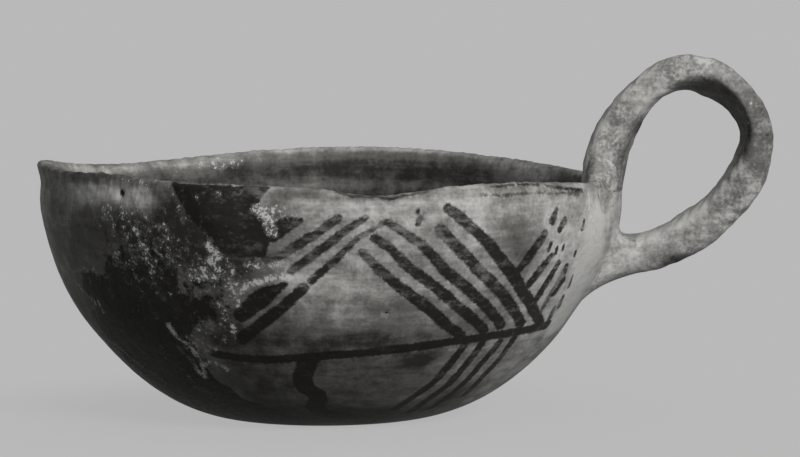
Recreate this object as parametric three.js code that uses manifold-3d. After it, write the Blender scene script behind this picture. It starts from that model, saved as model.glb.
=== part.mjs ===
// A handmade round-bottomed bowl with a high loop handle, in millimetres, +Z up.
// The origin is the centre of the small flat that the bowl rests on, and the handle points about along +X.
// The bowl is put together as its potter would do it: a pinched base cup, wall coils and a rim coil laid
// on each other over slanting joints, a strap handle that sits astride the lip and is pegged through the
// wall, clay luted round both of its roots, and a pad that clinches the peg inside.
import * as THREE from 'three';
import { mergeVertices } from 'three/addons/utils/BufferGeometryUtils.js';
import Module from 'manifold-3d';

const wasm = await Module();
wasm.setup();
const { degToRad, lerp, smoothstep } = THREE.MathUtils;

// Driving dimensions of the bowl
const RIM_DIAMETER = 150.5;
const BOWL_HEIGHT = 63.2; // mean height of the rim
const UPRIGHT_WALL = 8; // stretch below the rim where the wall stands straight up
const REST_DIAMETER = 46; // flat underneath
const BELLY_FULLNESS = 1.66; // exponent of the superellipse from the flat to the upright wall
const BASE_THICKNESS = 7;
const WALL_THICKNESS = 5.5;
const LIP_THICKNESS = 4;

// Courses of clay, from the bottom up
const BASE_CUP_HEIGHT = 14;
const RIM_COIL_HEIGHT = 11.5;
const WALL_COILS = 2;
const JOINT_SLANT = 3; // a joint's inner edge stands this much higher than its outer edge
const JOINT_GAP = 0.3; // thickness of the slurry between two pieces

// Unevenness that the hand left
const MOUTH_OFFSET = 2.7; // the mouth's middle stands this far towards the handle
const OFFSET_HEIGHT = 22.5; // height by which the wall has moved over
const RIM_SADDLE = 1.9; // twice up and down round the rim
const RIM_SADDLE_PEAK_DEG = 83;
const RIM_WAVE = 0.75; // three times up and down round the rim
const RIM_WAVE_PEAK_DEG = 88;
const WORN_DIP = 2.1; // depth to which the rim is worn down at one place
const WORN_DIP_AT_DEG = 280;
const WORN_DIP_SPREAD_DEG = 10.5;
const DRAWN_LIP_DEG = 180; // bearing at which the lip is drawn up and out
const DRAWN_LIP_RISE = 4.7;
const DRAWN_LIP_PULL = 0.7;
const DRAWN_LIP_SPREAD_DEG = 32;

// Driving dimensions of the handle
const STRAP_WIDTH = 16;
const STRAP_THICKNESS = 7.3; // half-way round the loop
const ROOT_THICKNESS = 9.8; // at both roots
const STRAP_SQUARENESS = 2.7; // exponent of the section's superellipse
const STRAP_TWIST_DEG = 20; // turn of the section half-way round the loop
const FOOT_BEARING_DEG = -15; // where the strap stands on the lip
const ROOT_BEARING_DEG = -5; // where the strap comes back to the wall
const LIP_BITE = 2.5; // depth to which the lip sinks into the strap's foot
const FOOT_INSET = 1.7; // the foot's middle stands this far inside the lip's middle
const LOOP_RISE = 27.2; // crown above the lip, on the strap's middle line
const CROWN_REACH = 22.9; // crown from the lip
const LOOP_REACH = 38.4; // furthest point of the loop from the lip
const TIP_RISE = 11; // furthest point above the lip
const LOOP_ROUNDNESS = 0.48;
const LOWER_LIMB_ROUNDNESS = 0.48;
const TENON_THICKNESS = 6;
const TENON_WIDTH = 10;
const TENON_STUB = 1.5; // length of the peg that stands inside the wall

// Luting clay
const UPPER_LUTE_RISE = 9; // up the strap
const UPPER_LUTE_SKIRT = 9; // down the wall
const LOWER_LUTE_LENGTH = 7; // out along the strap
const LUTE_SPREAD = 5; // flare of the luting at its foot
const LUTE_EDGE = 0.8; // thickness at its thin edge
const CLINCH_WIDTH = 22;
const CLINCH_THICKNESS = 4;

// Fineness of the facets
const SEGMENTS = 72; // round the bowl
const COURSE_STEPS = 4; // up each course
const WHOLE_STEPS = 24; // up the whole wall
const LIP_STEPS = 4; // over the lip
const SECTION_POINTS = 16; // round the strap
const LOOP_STEPS = 40; // along the strap
const LUTE_STEPS = 6;
const WELD_DISTANCE = 1e-4; // corners closer than this are one
const LEAST_CLIMB = 1e-4; // keeps the flat's edge from having no direction

// Sizes that follow from the driving ones
const rimRadius = RIM_DIAMETER / 2;
const restRadius = REST_DIAMETER / 2;
const shoulderHeight = BOWL_HEIGHT - UPRIGHT_WALL;
const rimJointHeight = BOWL_HEIGHT - RIM_COIL_HEIGHT;
const coilHeight = (rimJointHeight - BASE_CUP_HEIGHT) / WALL_COILS;
const lipRadius = LIP_THICKNESS / 2;
const lipHeight = BOWL_HEIGHT - lipRadius;
const footBearing = degToRad(FOOT_BEARING_DEG);
const rootBearing = degToRad(ROOT_BEARING_DEG);
const coilBottom = (number) => BASE_CUP_HEIGHT + number * coilHeight;

// Materials: pale slip under dark paint on the body, bare pale slip on the handle
const bodyClay = new THREE.MeshStandardMaterial({ color: 0x7d7d79, roughness: 0.72, metalness: 0 });
const handleClay = new THREE.MeshStandardMaterial({ color: 0x9a9c9a, roughness: 0.82, metalness: 0 });

// The hand's unevenness

// 1 at the given bearing, falling off smoothly over the spread on both sides of it.
function nearBearing(angle, bearingDeg, spreadDeg) {
  const turn = angle - degToRad(bearingDeg);
  const apart = Math.atan2(Math.sin(turn), Math.cos(turn));
  return Math.exp(-((apart / degToRad(spreadDeg)) ** 2));
}

function rimRise(angle) {
  const wave = (height, count, peakDeg) => height * Math.cos(count * (angle - degToRad(peakDeg)));
  return wave(RIM_SADDLE, 2, RIM_SADDLE_PEAK_DEG)
    + wave(RIM_WAVE, 3, RIM_WAVE_PEAK_DEG)
    + DRAWN_LIP_RISE * nearBearing(angle, DRAWN_LIP_DEG, DRAWN_LIP_SPREAD_DEG)
    - WORN_DIP * nearBearing(angle, WORN_DIP_AT_DEG, WORN_DIP_SPREAD_DEG);
}

// Where a point of the true round bowl lies on the uneven one.
function handShaped(radius, height, angle) {
  const share = radius === 0 ? 0 : Math.max(0, height / BOWL_HEIGHT) ** 3;
  const pull = DRAWN_LIP_PULL * nearBearing(angle, DRAWN_LIP_DEG, DRAWN_LIP_SPREAD_DEG)
    * smoothstep(height, shoulderHeight, BOWL_HEIGHT);
  const reach = radius === 0 ? 0 : radius + pull;
  const shift = MOUTH_OFFSET * smoothstep(height, 0, OFFSET_HEIGHT);
  return new THREE.Vector3(
    shift + reach * Math.cos(angle),
    reach * Math.sin(angle),
    height + rimRise(angle) * share,
  );
}

// The wall's profile

// Outer face of the wall at a height: its radius, and the direction square to it.
function outerFace(height) {
  const climb = height < shoulderHeight
    ? Math.acos(Math.max(0, 1 - height / shoulderHeight) ** (BELLY_FULLNESS / 2))
    : Math.PI / 2;
  const angle = Math.max(climb, LEAST_CLIMB);
  const power = 2 / BELLY_FULLNESS;
  const spread = rimRadius - restRadius;
  const radius = restRadius + spread * Math.sin(angle) ** power;
  const outwards = spread * Math.sin(angle) ** (power - 1) * Math.cos(angle);
  const upwards = shoulderHeight * Math.cos(angle) ** (power - 1) * Math.sin(angle);
  return { radius, normal: new THREE.Vector2(upwards, -outwards).normalize() };
}

function clayThickness(height) {
  const lower = lerp(BASE_THICKNESS, WALL_THICKNESS, smoothstep(height, 0, BASE_CUP_HEIGHT));
  return lerp(lower, LIP_THICKNESS, smoothstep(height, shoulderHeight, BOWL_HEIGHT));
}

// A point of the profile at a height: depth 0 is the outer face, and the clay's thickness the inner one.
function wallPoint(height, depth) {
  const { radius, normal } = outerFace(height);
  return new THREE.Vector2(radius - normal.x * depth, Math.min(height, lipHeight) - normal.y * depth);
}

// Heights from one to another, spaced by how far the wall has climbed, so that they crowd where it
// curves most.
function wallHeights(from, to, steps = COURSE_STEPS) {
  const climbOf = (height) => Math.acos(Math.max(0, 1 - height / lipHeight) ** (BELLY_FULLNESS / 2));
  return Array.from({ length: steps + 1 }, (_, i) => {
    const climb = lerp(climbOf(from), climbOf(to), i / steps);
    return lipHeight * (1 - Math.cos(climb) ** (2 / BELLY_FULLNESS));
  });
}

function outerPoints(heights, gap = 0) {
  return heights.map((height) => wallPoint(height, -gap));
}

// Inner points run downwards, because a profile goes up the outside and comes down the inside.
function innerPoints(heights, gap = 0) {
  return heights.map((height) => wallPoint(height, clayThickness(height) + gap)).reverse();
}

// The rounded lip, from the outer face over to the inner one.
function lipPoints(gap = 0) {
  const middle = rimRadius - lipRadius;
  return Array.from({ length: LIP_STEPS - 1 }, (_, i) => {
    const angle = Math.PI * (i + 1) / LIP_STEPS;
    const radius = lipRadius + gap;
    return new THREE.Vector2(middle + radius * Math.cos(angle), lipHeight + radius * Math.sin(angle));
  });
}

// Solids

// One closed solid from a three.js geometry, with the corners that its faces share merged.
function solidOf(geometry) {
  geometry.deleteAttribute('normal');
  geometry.deleteAttribute('uv');
  const welded = mergeVertices(geometry, WELD_DISTANCE);
  return new wasm.Manifold(new wasm.Mesh({
    numProp: 3,
    vertProperties: welded.attributes.position.array,
    triVerts: new Uint32Array(welded.index.array),
  }));
}

// A profile of radii and heights turned round the bowl's axis, then shaped by hand.
function turned(profile) {
  const lathe = new THREE.LatheGeometry(profile, SEGMENTS);
  const place = lathe.attributes.position;
  for (let i = 0; i < place.count; i++) {
    const radius = Math.hypot(place.getX(i), place.getZ(i));
    const angle = Math.atan2(place.getX(i), place.getZ(i));
    place.setXYZ(i, ...handShaped(radius, place.getY(i), angle));
  }
  return solidOf(lathe);
}

function closed(profile) {
  return [...profile, profile[0].clone()];
}

// The strap's section, one wide and one thick: a superellipse.
function strapSection() {
  const part = (value) => 0.5 * Math.sign(value) * Math.abs(value) ** (2 / STRAP_SQUARENESS);
  return new THREE.Shape(Array.from({ length: SECTION_POINTS }, (_, i) => {
    const angle = 2 * Math.PI * (i + 0.5) / SECTION_POINTS;
    return new THREE.Vector2(part(Math.cos(angle)), part(Math.sin(angle)));
  }));
}

// A point that was drawn at bearing 0, carried round the mouth's middle to its own bearing.
function carriedRound(point, bearing) {
  const mouth = new THREE.Vector3(MOUTH_OFFSET, 0, 0);
  return point.sub(mouth).applyAxisAngle(new THREE.Vector3(0, 0, 1), bearing).add(mouth);
}

// A bar of the strap's section led through stations. Each station says where the section's middle is,
// which way its thickness and its width lie, how large both are, how much it wraps round the bowl, and
// the bearing that it is carried round to.
function ledThrough(stations) {
  const steps = stations.length - 1;
  const bar = new THREE.ExtrudeGeometry(strapSection(), { depth: 1, steps, bevelEnabled: false });
  const place = bar.attributes.position;
  for (let i = 0; i < place.count; i++) {
    const station = stations[Math.round(place.getZ(i) * steps)];
    const across = place.getY(i) * station.width;
    const point = station.middle.clone()
      .addScaledVector(station.thick, place.getX(i) * station.thickness)
      .addScaledVector(station.wide, across);
    point.x -= (station.wrap ?? 0) * across ** 2 / 2;
    place.setXYZ(i, ...carriedRound(point, station.bearing));
  }
  return solidOf(bar);
}

// The handle's middle line

// Where the lip carries the strap, and where the strap meets the wall again, both drawn at bearing 0.
const lipTop = Math.max(...[-1, 0, 1].map((side) => {
  const angle = footBearing + side * Math.asin(STRAP_WIDTH / 2 / rimRadius);
  return handShaped(rimRadius, BOWL_HEIGHT, angle).z;
}));
const seat = new THREE.Vector3(MOUTH_OFFSET + rimRadius - lipRadius - FOOT_INSET, 0, lipTop);
const rootCoilMiddle = rimJointHeight - coilHeight / 2;
const rootFace = outerFace(rootCoilMiddle);
const rootLevel = handShaped(rootFace.radius, rootCoilMiddle, rootBearing).z;
const root = new THREE.Vector3(MOUTH_OFFSET + rootFace.radius, 0, rootLevel);
const rootClay = clayThickness(rootCoilMiddle);

function handleLine() {
  const at = (x, z) => new THREE.Vector3(x, 0, z);
  const crown = at(seat.x + CROWN_REACH, seat.z + LOOP_RISE);
  const tip = at(seat.x + LOOP_REACH, seat.z + TIP_RISE);
  const foot = at(seat.x, seat.z - LIP_BITE);
  const arm = (from, to, share) => (to - from) * share;
  const line = new THREE.CurvePath();
  line.add(new THREE.CubicBezierCurve3(
    foot,
    at(foot.x, foot.z + arm(foot.z, crown.z, LOOP_ROUNDNESS)),
    at(crown.x - arm(foot.x, crown.x, LOOP_ROUNDNESS), crown.z),
    crown,
  ));
  line.add(new THREE.CubicBezierCurve3(
    crown,
    at(crown.x + arm(crown.x, tip.x, LOOP_ROUNDNESS), crown.z),
    at(tip.x, tip.z + arm(tip.z, crown.z, LOOP_ROUNDNESS)),
    tip,
  ));
  line.add(new THREE.CubicBezierCurve3(
    tip,
    at(tip.x, tip.z - arm(root.z, tip.z, LOWER_LIMB_ROUNDNESS)),
    at(root.x + arm(root.x, tip.x, LOWER_LIMB_ROUNDNESS), root.z),
    root,
  ));
  return line;
}

const loopLine = handleLine();
const loopLength = loopLine.getLength();

// The strap's section at a share of the way round the loop, grown by a gap all round.
function strapStation(share, gap = 0) {
  const along = loopLine.getTangent(share).normalize();
  const thick = new THREE.Vector3(along.z, 0, -along.x);
  const wide = new THREE.Vector3().crossVectors(along, thick);
  const turn = -degToRad(STRAP_TWIST_DEG) * Math.sin(Math.PI * share) ** 2;
  const thickness = lerp(ROOT_THICKNESS, STRAP_THICKNESS, Math.sin(Math.PI * share) ** 3);
  return {
    middle: loopLine.getPoint(share),
    thick: thick.applyAxisAngle(along, turn),
    wide: wide.applyAxisAngle(along, turn),
    thickness: thickness + 2 * gap,
    width: STRAP_WIDTH + 2 * gap,
    bearing: lerp(footBearing, rootBearing, smoothstep(share, 0, 1)),
  };
}

// The strap's lower end goes on through half of the wall, so that it can be cut to the wall's face.
function strapBar(gap = 0) {
  const stations = Array.from({ length: LOOP_STEPS + 1 }, (_, i) => strapStation(i / LOOP_STEPS, gap));
  const end = stations.at(-1);
  const start = stations[0];
  const past = { ...end, middle: end.middle.clone() };
  past.middle.x -= rootClay / 2 + gap;
  const below = { ...start, middle: start.middle.clone() };
  below.middle.z -= gap;
  return ledThrough(gap ? [below, ...stations, past] : [...stations, past]);
}

// The peg runs level from the strap's root through the wall.
function tenonBar(gap = 0) {
  const peg = {
    thick: new THREE.Vector3(0, 0, 1),
    wide: new THREE.Vector3(0, 1, 0),
    thickness: TENON_THICKNESS + 2 * gap,
    width: TENON_WIDTH + 2 * gap,
    bearing: rootBearing,
  };
  const inside = root.x - rootClay / rootFace.normal.x - TENON_STUB - gap;
  const outside = root.x + rootClay;
  return ledThrough([outside, inside].map((x) => ({ ...peg, middle: new THREE.Vector3(x, 0, root.z) })));
}

// The bowl's courses

function baseCup() {
  const top = BASE_CUP_HEIGHT;
  return turned([
    new THREE.Vector2(0, 0),
    ...outerPoints(wallHeights(0, top)),
    ...innerPoints(wallHeights(0, top + JOINT_SLANT)),
    new THREE.Vector2(0, BASE_THICKNESS),
  ]);
}

function wallCoil(number) {
  const bottom = coilBottom(number) + JOINT_GAP;
  const top = coilBottom(number + 1);
  return turned(closed([
    ...outerPoints(wallHeights(bottom, top)),
    ...innerPoints(wallHeights(bottom + JOINT_SLANT, top + JOINT_SLANT)),
  ]));
}

function rimCoil() {
  const bottom = rimJointHeight + JOINT_GAP;
  return turned(closed([
    ...outerPoints(wallHeights(bottom, lipHeight)),
    ...lipPoints(),
    ...innerPoints(wallHeights(bottom + JOINT_SLANT, lipHeight)),
  ]));
}

// The whole bowl grown by the slurry's thickness and filled up to a height below the luted rim: what is
// set on the bowl is cut to this.
function bowlToCut() {
  const filledTo = lipTop - LIP_BITE - UPPER_LUTE_SKIRT - JOINT_GAP;
  return turned([
    new THREE.Vector2(0, -JOINT_GAP),
    ...outerPoints(wallHeights(0, lipHeight, WHOLE_STEPS), JOINT_GAP),
    ...lipPoints(JOINT_GAP),
    ...innerPoints(wallHeights(filledTo, lipHeight), JOINT_GAP),
    new THREE.Vector2(0, filledTo),
  ]);
}

// The hollow of the bowl, kept clear of the wall by the slurry's thickness.
function hollow() {
  return turned([
    new THREE.Vector2(0, BASE_THICKNESS + JOINT_GAP),
    ...innerPoints(wallHeights(0, lipHeight, WHOLE_STEPS), JOINT_GAP).reverse(),
    new THREE.Vector2(0, lipHeight),
  ]);
}

// The handle and its luting

// Luting round the strap's foot: widest at the lip, thinning up the strap and down both faces of the wall.
function upperLute() {
  const stations = [];
  for (let i = -LUTE_STEPS; i <= LUTE_STEPS; i++) {
    const share = i / LUTE_STEPS;
    const above = Math.max(0, share * UPPER_LUTE_RISE);
    const below = Math.max(0, -share * UPPER_LUTE_SKIRT);
    const station = strapStation((above + LIP_BITE) / loopLength);
    const down = below / UPPER_LUTE_SKIRT;
    const skirt = lerp(station.thickness, WALL_THICKNESS, down);
    const flare = LUTE_EDGE + LUTE_SPREAD * (1 - Math.abs(share)) ** 2;
    const wallMiddle = MOUTH_OFFSET + rimRadius - WALL_THICKNESS / 2;
    station.middle.x = lerp(station.middle.x, wallMiddle, down);
    station.middle.z -= below;
    stations.push({
      ...station,
      thickness: skirt + 2 * LUTE_EDGE,
      width: STRAP_WIDTH + 2 * flare,
      wrap: 1 / rimRadius,
    });
  }
  return ledThrough(stations);
}

// Luting round the strap's lower root: a flare that turns to lie along the wall.
function lowerLute() {
  const upWall = new THREE.Vector3(-rootFace.normal.y, 0, rootFace.normal.x);
  const stations = [];
  for (let i = 0; i <= LUTE_STEPS; i++) {
    const share = i / LUTE_STEPS;
    const station = strapStation(1 - (1 - share) * LOWER_LUTE_LENGTH / loopLength);
    const flare = LUTE_EDGE + LUTE_SPREAD * share ** 3;
    stations.push({
      ...station,
      thick: station.thick.lerp(upWall, share).normalize(),
      thickness: station.thickness + 2 * flare,
      width: STRAP_WIDTH + 2 * flare,
      wrap: share / rootFace.radius,
    });
  }
  const foot = stations.at(-1);
  const behind = new THREE.Vector3(-rootFace.normal.x, 0, -rootFace.normal.y);
  stations.push({ ...foot, middle: foot.middle.clone().addScaledVector(behind, rootClay / 2) });
  return ledThrough(stations);
}

// A low dome over the peg's end, on the inner face of the wall.
function clinchPad() {
  const dome = new THREE.SphereGeometry(1, SECTION_POINTS, SECTION_POINTS / 2);
  const lean = Math.atan2(-rootFace.normal.y, rootFace.normal.x);
  dome.scale(CLINCH_THICKNESS, CLINCH_WIDTH / 2, CLINCH_WIDTH / 2);
  dome.rotateY(lean);
  dome.translate(root.x - rootClay / rootFace.normal.x - MOUTH_OFFSET, 0, root.z);
  dome.rotateZ(rootBearing);
  dome.translate(MOUTH_OFFSET, 0, 0);
  return solidOf(dome);
}

// Assembly

const bowl = new THREE.Group();

function addPiece(name, body, material) {
  const mesh = body.getMesh();
  const geometry = new THREE.BufferGeometry();
  geometry.setAttribute('position', new THREE.BufferAttribute(mesh.vertProperties, 3));
  geometry.setIndex(new THREE.BufferAttribute(mesh.triVerts, 1));
  geometry.computeVertexNormals();
  const piece = new THREE.Mesh(geometry, material.clone());
  piece.name = name;
  bowl.add(piece);
}

const cut = bowlToCut();
const strapRoom = strapBar(JOINT_GAP);
const tenonRoom = tenonBar(JOINT_GAP);

addPiece('base_cup', baseCup(), bodyClay);
for (let number = 0; number < WALL_COILS; number++) {
  addPiece(`wall_coil_${number + 1}`, wallCoil(number).subtract(tenonRoom), bodyClay);
}
addPiece('rim_coil', rimCoil(), bodyClay);
addPiece('handle_strap', strapBar().subtract(cut).add(tenonBar()), handleClay);
addPiece('upper_root_luting', upperLute().subtract(cut).subtract(strapRoom), handleClay);
addPiece('lower_root_luting', lowerLute().subtract(cut).subtract(strapRoom), handleClay);
addPiece('tenon_clinch_pad', clinchPad().intersect(hollow()).subtract(tenonRoom), bodyClay);

export default bowl;
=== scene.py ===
# %% [markdown]
# # A handled bowl in painted slip
# The object is a small handmade bowl. Its wall was built up from a pinched base and rings of clay,
# its lip was drawn up on one side, and a strap of clay was bent into a high loop and luted to the lip
# and to the wall. A pale slip was wiped on and dark strokes were brushed over it. Long burial then left
# soot-dark areas and a white lime crust.
#
# The CAD solids come first, as a fixed frame in metres. Each one is replaced here by a finer piece of
# the same place and size, and the solids stay hidden in the scene.

# %% The frame
import math

import bpy
import numpy as np
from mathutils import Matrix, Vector


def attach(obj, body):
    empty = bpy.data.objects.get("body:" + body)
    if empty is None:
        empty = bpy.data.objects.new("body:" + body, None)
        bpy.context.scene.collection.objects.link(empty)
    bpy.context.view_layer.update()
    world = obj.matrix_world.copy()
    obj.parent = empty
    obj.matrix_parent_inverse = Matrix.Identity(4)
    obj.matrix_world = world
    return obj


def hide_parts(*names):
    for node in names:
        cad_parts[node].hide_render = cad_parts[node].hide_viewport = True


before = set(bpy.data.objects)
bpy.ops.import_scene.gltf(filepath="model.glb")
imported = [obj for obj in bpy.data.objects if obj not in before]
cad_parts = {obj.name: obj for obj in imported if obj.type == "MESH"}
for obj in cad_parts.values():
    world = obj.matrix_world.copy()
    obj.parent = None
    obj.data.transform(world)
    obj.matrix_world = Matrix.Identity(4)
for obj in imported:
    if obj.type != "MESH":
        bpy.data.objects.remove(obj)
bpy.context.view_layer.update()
MM = 0.001

# %% [markdown]
# ## The view
# The bowl is seen from about a metre away, a little above its lip, with the handle to the right. A long
# lens from that distance keeps the far lip nearly as wide as the near one. The camera looks along +Y
# and is tipped down by a few degrees only.

# %% Camera
VIEW_DISTANCE = 1.0
VIEW_TIP = math.radians(4.4)
VIEW_TARGET = Vector((0.0206, 0.0, 0.04856))
LENS_LENGTH = 173.07

back_off = Vector((0, -math.cos(VIEW_TIP), math.sin(VIEW_TIP))) * VIEW_DISTANCE
bpy.ops.object.camera_add(location=VIEW_TARGET + back_off, rotation=(math.pi / 2 - VIEW_TIP, 0, 0))
camera = bpy.context.object
camera.data.lens = LENS_LENGTH
camera.data.sensor_fit = "HORIZONTAL"
bpy.context.scene.camera = camera
bpy.context.scene.view_settings.view_transform = "Standard"
print("camera at", [round(value, 3) for value in camera.location])

# %% [markdown]
# ## The shape of the wall
# Nothing on a hand-built bowl is quite round. The outer face starts as a round form: a small flat, a
# full belly and an upright lip. The same form is then pushed about: the mouth sits off the middle, the
# lip rises and falls, and one side of it is drawn up into a low beak. These few lines hold that shape
# for every piece of the bowl, in millimetres, with bearings in degrees seen from above. The handle is
# at bearing 0, and the side towards the camera is at 270.

# %% Round form
RIM_RADIUS = 75.25
REST_RADIUS = 23.0
BOWL_HEIGHT = 63.2
SHOULDER = 55.2
FULLNESS = 1.66
LIP_RADIUS = 2.0
LIP_HEIGHT = BOWL_HEIGHT - LIP_RADIUS
LIP_MIDDLE = RIM_RADIUS - LIP_RADIUS
BASE_CLAY, WALL_CLAY, LIP_CLAY = 7.0, 5.5, 4.0
BASE_TOP = 14.0
LEAST_CLIMB = 1e-4


def ease(value, low, high):
    share = np.clip((value - low) / (high - low), 0, 1)
    return share * share * (3 - 2 * share)


def outer_face(height):
    """Radius of the outer face at a height, and the two parts of its outward normal."""
    left = np.clip(1 - np.asarray(height, float) / SHOULDER, 0, 1)
    climb = np.clip(np.arccos(left ** (FULLNESS / 2)), LEAST_CLIMB, math.pi / 2 - LEAST_CLIMB)
    radius = REST_RADIUS + (RIM_RADIUS - REST_RADIUS) * np.sin(climb) ** (2 / FULLNESS)
    out = SHOULDER * np.cos(climb) ** (2 / FULLNESS - 1) * np.sin(climb)
    down = (RIM_RADIUS - REST_RADIUS) * np.sin(climb) ** (2 / FULLNESS - 1) * np.cos(climb)
    return radius, out / np.hypot(out, down), -down / np.hypot(out, down)


def clay(height):
    wall = BASE_CLAY + (WALL_CLAY - BASE_CLAY) * ease(height, 0, BASE_TOP)
    return wall + (LIP_CLAY - wall) * ease(height, SHOULDER, BOWL_HEIGHT)


def inner_face(height, lift=0.0):
    """Radius and height of the inner face behind a height of the outer one, lifted into the bowl."""
    radius, out, down = outer_face(height)
    depth = clay(height) + lift
    return radius - out * depth, np.minimum(height, LIP_HEIGHT) - down * depth


print("belly radius at half height:", round(float(outer_face(BOWL_HEIGHT / 2)[0]), 2), "mm")

# %% Hand shaping
MOUTH_OFFSET, OFFSET_HEIGHT = 2.7, 22.5
SADDLE, SADDLE_BEARING = 1.9, 83
WAVE, WAVE_BEARING = 0.75, 88
BEAK_RISE, BEAK_PULL, BEAK_BEARING, BEAK_SPREAD = 4.7, 0.7, 180, 32
LIP_WAVES = [(280, 10.5, -2.1), (225, 11, 1.1), (311, 18, 0.7)]
PRESSED = [(180, 24, 60, 10, 0.95), (180, 59, 25, 2, -0.5), (0, 28, 60, 10, -1.4), (0, 3, 60, 8.5, 2.4)]


def hill(value, middle, spread):
    """1 at the middle, falling softly to both sides."""
    return np.exp(-(((value - middle) / spread) ** 2))


def degrees_from(bearing, middle):
    return (bearing - middle + 180) % 360 - 180


def bump_at(bearing, middle, spread):
    return hill(degrees_from(bearing, middle), 0, spread)


def bumps(bearing, spots):
    """Hills round the bowl, each with its bearing, spread and amount."""
    return [amount * bump_at(bearing, middle, wide) for middle, wide, amount in spots]


def ovals(bearing, height, spots):
    """Soft ovals on the wall, each with its bearing, height, half sizes in degrees and mm, and amount."""
    return [amount * bump_at(bearing, middle, wide) * hill(height, level, tall)
            for middle, level, wide, tall, amount in spots]


def rim_rise(bearing):
    around = np.radians(bearing)
    saddle = SADDLE * np.cos(2 * (around - math.radians(SADDLE_BEARING)))
    wave = WAVE * np.cos(3 * (around - math.radians(WAVE_BEARING)))
    beak = BEAK_RISE * bump_at(bearing, BEAK_BEARING, BEAK_SPREAD)
    return saddle + wave + beak + np.sum(bumps(bearing, LIP_WAVES), 0)


def pressed(radius, height, bearing):
    """How far a hand pushed the wall out; the middle of the flat stays as it is."""
    pushes = np.sum(ovals(bearing, height, PRESSED), 0)
    return pushes * ease(radius, REST_RADIUS / 2, REST_RADIUS + BASE_CLAY)


def hand_shaped(radius, height, bearing):
    """Points of the finished bowl, in millimetres, from a place on the round form."""
    radius = radius + pressed(radius, height, bearing)
    pull = BEAK_PULL * bump_at(bearing, BEAK_BEARING, BEAK_SPREAD) * ease(height, SHOULDER, BOWL_HEIGHT)
    shift = MOUTH_OFFSET * ease(height, 0, OFFSET_HEIGHT)
    around = np.radians(bearing)
    up = height + rim_rise(bearing) * np.clip(height / BOWL_HEIGHT, 0, None) ** 3
    return np.stack([shift + (radius + pull) * np.cos(around), (radius + pull) * np.sin(around), up], -1)


print("lip height at the handle and at the beak:",
      hand_shaped(LIP_MIDDLE, BOWL_HEIGHT, np.array([0.0, 180.0]))[:, 2].round(2), "mm")

# %% [markdown]
# ## Base, two courses and rim
# Each ring of the wall is a closed outline turned about the upright axis. By hand one would draw the
# outline as a chain of extruded points and give it a Screw modifier with a full turn, and that is done
# here. The rows lie closer on the outer face than inside, because the brush strokes are carried by the
# points of the mesh. Two neighbouring rings share the same slanting joint, so no seam shows.

# %% Outlines
COURSE_BOTTOMS = [BASE_TOP, 32.85, 51.7]
JOINT_SLANT = 3.0
OUTER_ROW, INNER_ROW = 0.52, 1.5
FLAT_ROWS, LIP_ROWS, FINE_ROWS = 8, 14, 600


def walked(points):
    """The distance walked along a chain of points, at each of them."""
    return np.concatenate([[0], np.cumsum(np.linalg.norm(np.diff(points, axis=0), axis=1))])


def rows(low, high, step):
    """Heights that lie a step apart along the slope of the wall."""
    fine = np.linspace(low, high, FINE_ROWS)
    walk = walked(np.stack([outer_face(fine)[0], fine], -1))
    return np.interp(np.linspace(0, walk[-1], round(walk[-1] / step) + 1), walk, fine)


def outside(low, high):
    heights = rows(low, high, OUTER_ROW)
    return list(zip(outer_face(heights)[0], heights))


def inside(high, low):
    heights = rows(low, high, INNER_ROW)[::-1]
    return list(zip(*inner_face(heights)))


lower, upper, rim_joint = COURSE_BOTTOMS
flat = [(share * REST_RADIUS, 0.0) for share in np.linspace(0, 1, FLAT_ROWS)]
floor_top = [(radius, BASE_CLAY) for radius, _ in flat[::-1]]
turn = np.linspace(0, math.pi, LIP_ROWS + 1)[1:]
lip = [(LIP_MIDDLE + LIP_RADIUS * math.cos(a), LIP_HEIGHT + LIP_RADIUS * math.sin(a)) for a in turn]
outlines = {
    "bowl_base": flat + outside(0, lower)[1:] + inside(lower + JOINT_SLANT, 0)[:-1] + floor_top,
    "lower_course": outside(lower, upper) + inside(upper + JOINT_SLANT, lower + JOINT_SLANT),
    "upper_course": outside(upper, rim_joint) + inside(rim_joint + JOINT_SLANT, upper + JOINT_SLANT),
    "bowl_rim": outside(rim_joint, LIP_HEIGHT) + lip + inside(LIP_HEIGHT, rim_joint + JOINT_SLANT)[1:],
}
print("points in each outline:", {name: len(points) for name, points in outlines.items()})

# %% Turned rings
BASE_STEPS, WALL_STEPS = 720, 1080
WELD = 1e-7


def started(name, add, **options):
    """A new mesh under a piece's name, from one of the operators that add a simple shape."""
    bpy.ops.object.select_all(action="DESELECT")
    add(**options)
    piece = bpy.context.object
    piece.name = piece.data.name = name
    return piece


def select_only(piece):
    bpy.ops.object.select_all(action="DESELECT")
    bpy.context.view_layer.objects.active = piece
    piece.select_set(True)


def turned_ring(name, points, closed, steps):
    """A chain of extruded points, turned once about the axis into a closed ring."""
    ring = started(name, bpy.ops.mesh.primitive_plane_add, size=MM)
    bpy.ops.object.mode_set(mode="EDIT")
    bpy.ops.mesh.select_all(action="SELECT")
    bpy.ops.mesh.merge(type="CENTER")
    stops = [(0, 0)] + list(points) + ([points[0]] if closed else [])
    for number, (start, stop) in enumerate(zip(stops, stops[1:])):
        step = ((stop[0] - start[0]) * MM, 0, (stop[1] - start[1]) * MM)
        if number == 0:
            bpy.ops.transform.translate(value=step)
        else:
            bpy.ops.mesh.extrude_vertices_move(TRANSFORM_OT_translate={"value": step})
    bpy.ops.object.mode_set(mode="OBJECT")
    screw = ring.modifiers.new("turn", "SCREW")
    screw.steps = screw.render_steps = steps
    screw.use_merge_vertices = True
    screw.merge_threshold = WELD
    bpy.ops.object.modifier_apply(modifier=screw.name)
    close_up(ring)
    return ring


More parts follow.
